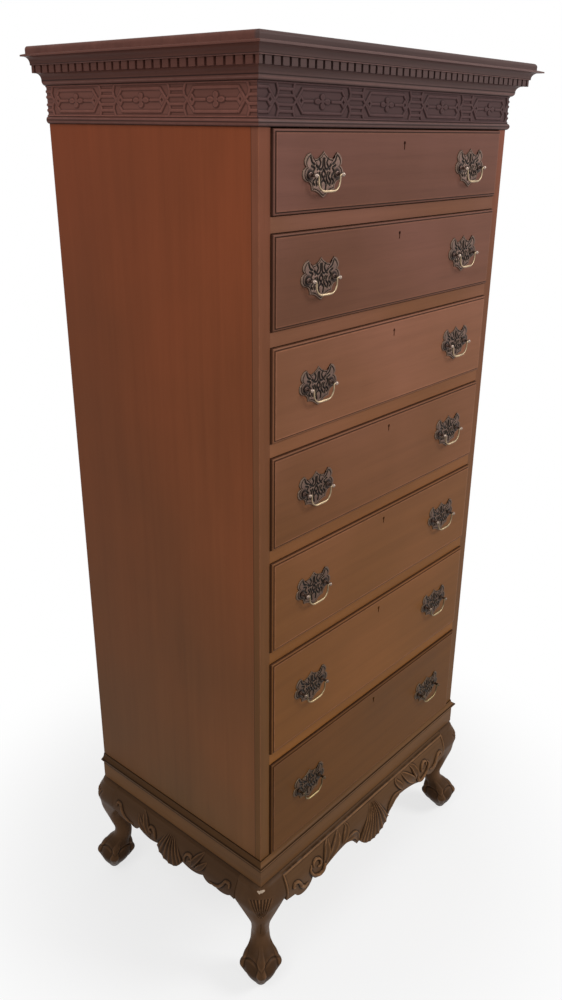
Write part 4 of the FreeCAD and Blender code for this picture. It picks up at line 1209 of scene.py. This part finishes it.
class SEMAINIER_OT_frieze(bpy.types.Operator):
    """Carve the blind fret of the frieze"""

    bl_idname = "semainier.frieze"
    bl_label = "Frieze fret"

    def execute(self, context):
        colours = context.scene.semainier_colours
        bar = context.scene.semainier_sizes.fret_bar / MM
        corner = HALF_W + FACE_Y - FRET_LOW[1]
        marks = carving_marks(0.45, 0.95)
        # The front fret is a darker copy of the sides' wood, and the sides' fret a lighter one: painted
        # light and shade.
        wood = mahogany("mahogany_fret_front", *[colours.frieze_front] * 2, "run", 7.0, marks)
        strip = frieze_strip(corner, FRET_START_FRONT, FRET_PERIOD_FRONT, bar, on_front)
        add_piece("frieze_fret_front", [strip], "case", wood, "frieze_fret", CARVED_CREASE)
        wood = mahogany("mahogany_fret_sides", *[shade(colours.cornice, 1.12)] * 2, "run", 7.5, marks)
        for side, sign in SIDES:
            strip = frieze_strip(HALF_D, 0.0, FRET_PERIOD_SIDE, bar, on_side(sign))
            add_piece("frieze_fret_" + side, [strip], "case", wood, "frieze_fret", CARVED_CREASE)
        return {"FINISHED"}


class SEMAINIER_OT_aprons(bpy.types.Operator):
    """Carve the front and side aprons"""

    bl_idname = "semainier.aprons"
    bl_label = "Aprons"

    def execute(self, context):
        sizes = context.scene.semainier_sizes
        colours = context.scene.semainier_colours
        marks = carving_marks(1.0, 0.95)
        wood = mahogany("mahogany_apron_front", *[colours.apron] * 2, "run", 8.0, marks)
        apron = apron_shell(HALF_W - KNEE_W, FRONT_APRON, sizes.front_flutes, sizes, on_front)
        add_piece("apron_front", [apron], "case", wood, "aprons", CARVED_CREASE)
        # The side aprons are a darker copy of the legs' wood: painted shade.
        wood = mahogany("mahogany_apron_sides", *[shade(colours.legs, 0.66)] * 2, "run", 8.5, marks)
        for side, sign in SIDES:
            apron = apron_shell(HALF_D - KNEE_W, SIDE_APRON, sizes.side_flutes, sizes, on_side(sign))
            add_piece("apron_" + side, [apron], "case", wood, "aprons", CARVED_CREASE)
        return {"FINISHED"}


class SEMAINIER_OT_legs(bpy.types.Operator):
    """Carve the four cabriole legs"""

    bl_idname = "semainier.legs"
    bl_label = "Legs"

    def execute(self, context):
        sizes = context.scene.semainier_sizes
        dark = context.scene.semainier_colours.legs
        wood = mahogany("mahogany_legs", dark, dark, "z", 9.0, carving_marks(0.75, 0.9))
        for end, sy in (("front", -1), ("back", 1)):
            for side, sx in SIDES:
                name = "leg_%s_%s" % (end, side)
                leg = leg_shell(sx, sy, sizes, name == "leg_front_left")
                add_piece(name, [leg], "case", wood, "legs", CARVED_CREASE)
        return {"FINISHED"}


class SEMAINIER_OT_brasses(bpy.types.Operator):
    """Make each drawer's pull plates, posts, nuts and lock case"""

    bl_idname = "semainier.brasses"
    bl_label = "Brasses"

    def execute(self, context):
        sizes = context.scene.semainier_sizes
        colours = context.scene.semainier_colours
        edges = [c * 0.4 for c in colours.bails_upper]
        profile = post_profile()
        for number in DRAWERS:
            body = "drawer_%d" % number
            node = body + "_brasses"
            # Plates, posts and balls are painted darker on lower drawers, as painted shade.
            tarnish = dimmed_towards_floor(number, colours.plates_upper, colours.plates_lower)
            plate_brass = cast_brass("tarnished_brass_plates_%d" % number, tarnish, 0.5, edges)
            rubbed = dimmed_towards_floor(number, colours.knobs_upper, colours.knobs_lower)
            post_brass = cast_brass("tarnished_brass_posts_%d" % number, tarnish, 0.42, rubbed)
            places = pivots(number).values()
            ends = [(place[0] + end * POST_SPACING / 2, place[2]) for place in places for end in (-1, 1)]
            plates = [plate_shell(place, sizes) for place in places]
            hidden = [lock_shell(box_mm(body + "_front")[1][2])] + [nut_shell(*end) for end in ends]
            posts = [lathe(profile, *end) for end in ends]
            add_piece(body + "_plates", plates + hidden, body, plate_brass, node, BRASS_CREASE)
            add_piece(body + "_posts", posts, body, post_brass, node, BRASS_CREASE)
        return {"FINISHED"}


class SEMAINIER_OT_bails(bpy.types.Operator):
    """Hang the bails between their posts"""

    bl_idname = "semainier.bails"
    bl_label = "Bails"

    def execute(self, context):
        colours = context.scene.semainier_colours
        for number in DRAWERS:
            # Bails are painted darker on lower drawers, as painted shade.
            bright = dimmed_towards_floor(number, colours.bails_upper, colours.bails_lower)
            rubbed = cast_brass("rubbed_brass_bails_%d" % number, bright, 0.42, bright)
            dulled, = dimmed_towards_floor(number, (0.0,), (ARM_TARNISH,))
            for side, pivot in pivots(number).items():
                node = "drawer_%d_bail_%s" % (number, side)
                name = "drawer_%d_handle_%s" % (number, side)
                add_piece(name, [bail_shell(pivot, dulled)], node, rubbed, node)
        return {"FINISHED"}


class SEMAINIER_OT_stage(bpy.types.Operator):
    """Set up the floor, lights, background and camera"""

    bl_idname = "semainier.stage"
    bl_label = "Stage"

    def execute(self, context):
        scene = context.scene
        scene.view_settings.view_transform = "Standard"
        self.floor(scene)
        self.background(scene)
        self.lamps(scene)
        self.camera(scene)
        return {"FINISHED"}

    def floor(self, scene):
        """Pale floor that keeps a light shadow near the chest and is white away from it."""
        mesh = bpy.data.meshes.new("floor")
        mesh.from_pydata([(x * FLOOR_HALF, y * FLOOR_HALF, 0.0) for x, y in SQUARE], [], [(0, 1, 2, 3)])
        floor = bpy.data.objects.new("floor", mesh)
        scene.collection.objects.link(floor)
        # Matt white paper, whose own white is mixed in for the camera and for reflections
        material, add, shader, place = new_material("white_studio_paper")
        feed(shader, {"Base Color": shade(linear(PAPER)), "Roughness": 0.9})
        away = add("VectorMath", place, out="Value", operation="LENGTH")
        share = add("MapRange", away, *FLOOR_WHITE, 1.0, interpolation_type="SMOOTHSTEP")
        share = add("Math", share, self.seen(add), operation="MULTIPLY")
        white = add("Emission", shade(linear(WHITE)), 1.0)
        mixed = add("MixShader", share, shader.outputs[0], white)
        feed(material.node_tree.nodes["Material Output"], {"Surface": mixed})
        mesh.materials.append(material)

    def seen(self, add):
        """1 for a ray from the camera, a reflection or through glass, and 0 for light on the chest."""
        path = add("LightPath").node.outputs
        share = path["Is Camera Ray"]
        for ray in ("Is Glossy Ray", "Is Transmission Ray"):
            share = add("Math", share, path[ray], operation="MAXIMUM")
        return share

    def background(self, scene):
        """White behind the chest, and even soft light from all round."""
        scene.world = bpy.data.worlds.new("studio")
        scene.world.use_nodes = True
        tree = scene.world.node_tree
        add = functools.partial(add_node, tree)
        strength = add("MapRange", self.seen(add), 0.0, 1.0, ROOM_LIGHT, 1.0)
        feed(tree.nodes["Background"], {"Color": shade(linear(WHITE)), "Strength": strength})

    def lamps(self, scene):
        """A large soft lamp high in front to the right, and one from the left side."""
        for name, place, size, power in LAMPS:
            light = bpy.data.lights.new(name, "AREA")
            light.size = size
            light.energy = power
            lamp = bpy.data.objects.new(name, light)
            lamp.location = place
            lamp.rotation_euler = (Vector(LAMP_TARGET) - lamp.location).to_track_quat("-Z", "Y").to_euler()
            scene.collection.objects.link(lamp)

    def camera(self, scene):
        """Camera where the photograph was taken from."""
        yaw, pitch, roll = (math.radians(angle) for angle in CAMERA_TURN)
        focal, width, height, cx, cy = CAMERA_PIXELS
        level = math.cos(pitch)
        forward = np.array([math.sin(yaw) * level, math.cos(yaw) * level, math.sin(pitch)])
        right = np.array([math.cos(yaw), -math.sin(yaw), 0.0])
        up = np.cross(right, forward)
        data = bpy.data.cameras.new("camera")
        data.sensor_width = 36.0
        data.lens = focal / height * data.sensor_width
        data.shift_x = (width / 2 - cx) / height
        data.shift_y = (cy - height / 2) / height
        camera = bpy.data.objects.new("camera", data)
        matrix = np.eye(4)
        matrix[:3, 0] = math.cos(roll) * right + math.sin(roll) * up
        matrix[:3, 1] = math.cos(roll) * up - math.sin(roll) * right
        matrix[:3, 2] = -forward
        matrix[:3, 3] = CAMERA_PLACE
        camera.matrix_world = Matrix(matrix.tolist())
        scene.collection.objects.link(camera)
        scene.camera = camera


class SEMAINIER_PT_panel(bpy.types.Panel):
    """Sidebar list of the chest's pieces, sizes and colours"""

    bl_label = "Semainier"
    bl_idname = "SEMAINIER_PT_panel"
    bl_space_type = "VIEW_3D"
    bl_region_type = "UI"
    bl_category = "Semainier"

    def draw(self, context):
        for operator in OPERATORS:
            self.layout.operator(operator.bl_idname)
        for group in (context.scene.semainier_sizes, context.scene.semainier_colours):
            for name in group.__annotations__:
                self.layout.prop(group, name)


OPERATORS = (
    SEMAINIER_OT_case,
    SEMAINIER_OT_drawers,
    SEMAINIER_OT_frieze,
    SEMAINIER_OT_aprons,
    SEMAINIER_OT_legs,
    SEMAINIER_OT_brasses,
    SEMAINIER_OT_bails,
    SEMAINIER_OT_stage,
)
CLASSES = (SemainierSizes, SemainierColours) + OPERATORS + (SEMAINIER_PT_panel,)


def register():
    """Add the classes and the scene's two groups of settings."""
    for each in CLASSES:
        bpy.utils.register_class(each)
    bpy.types.Scene.semainier_sizes = bpy.props.PointerProperty(type=SemainierSizes)
    bpy.types.Scene.semainier_colours = bpy.props.PointerProperty(type=SemainierColours)


def unregister():
    """Take them away again."""
    del bpy.types.Scene.semainier_colours
    del bpy.types.Scene.semainier_sizes
    for each in reversed(CLASSES):
        bpy.utils.unregister_class(each)


def main():
    """Run every operator in order."""
    register()
    for operator in OPERATORS:
        group, name = operator.bl_idname.split(".")
        getattr(getattr(bpy.ops, group), name)()


if __name__ == "__main__":
    main()
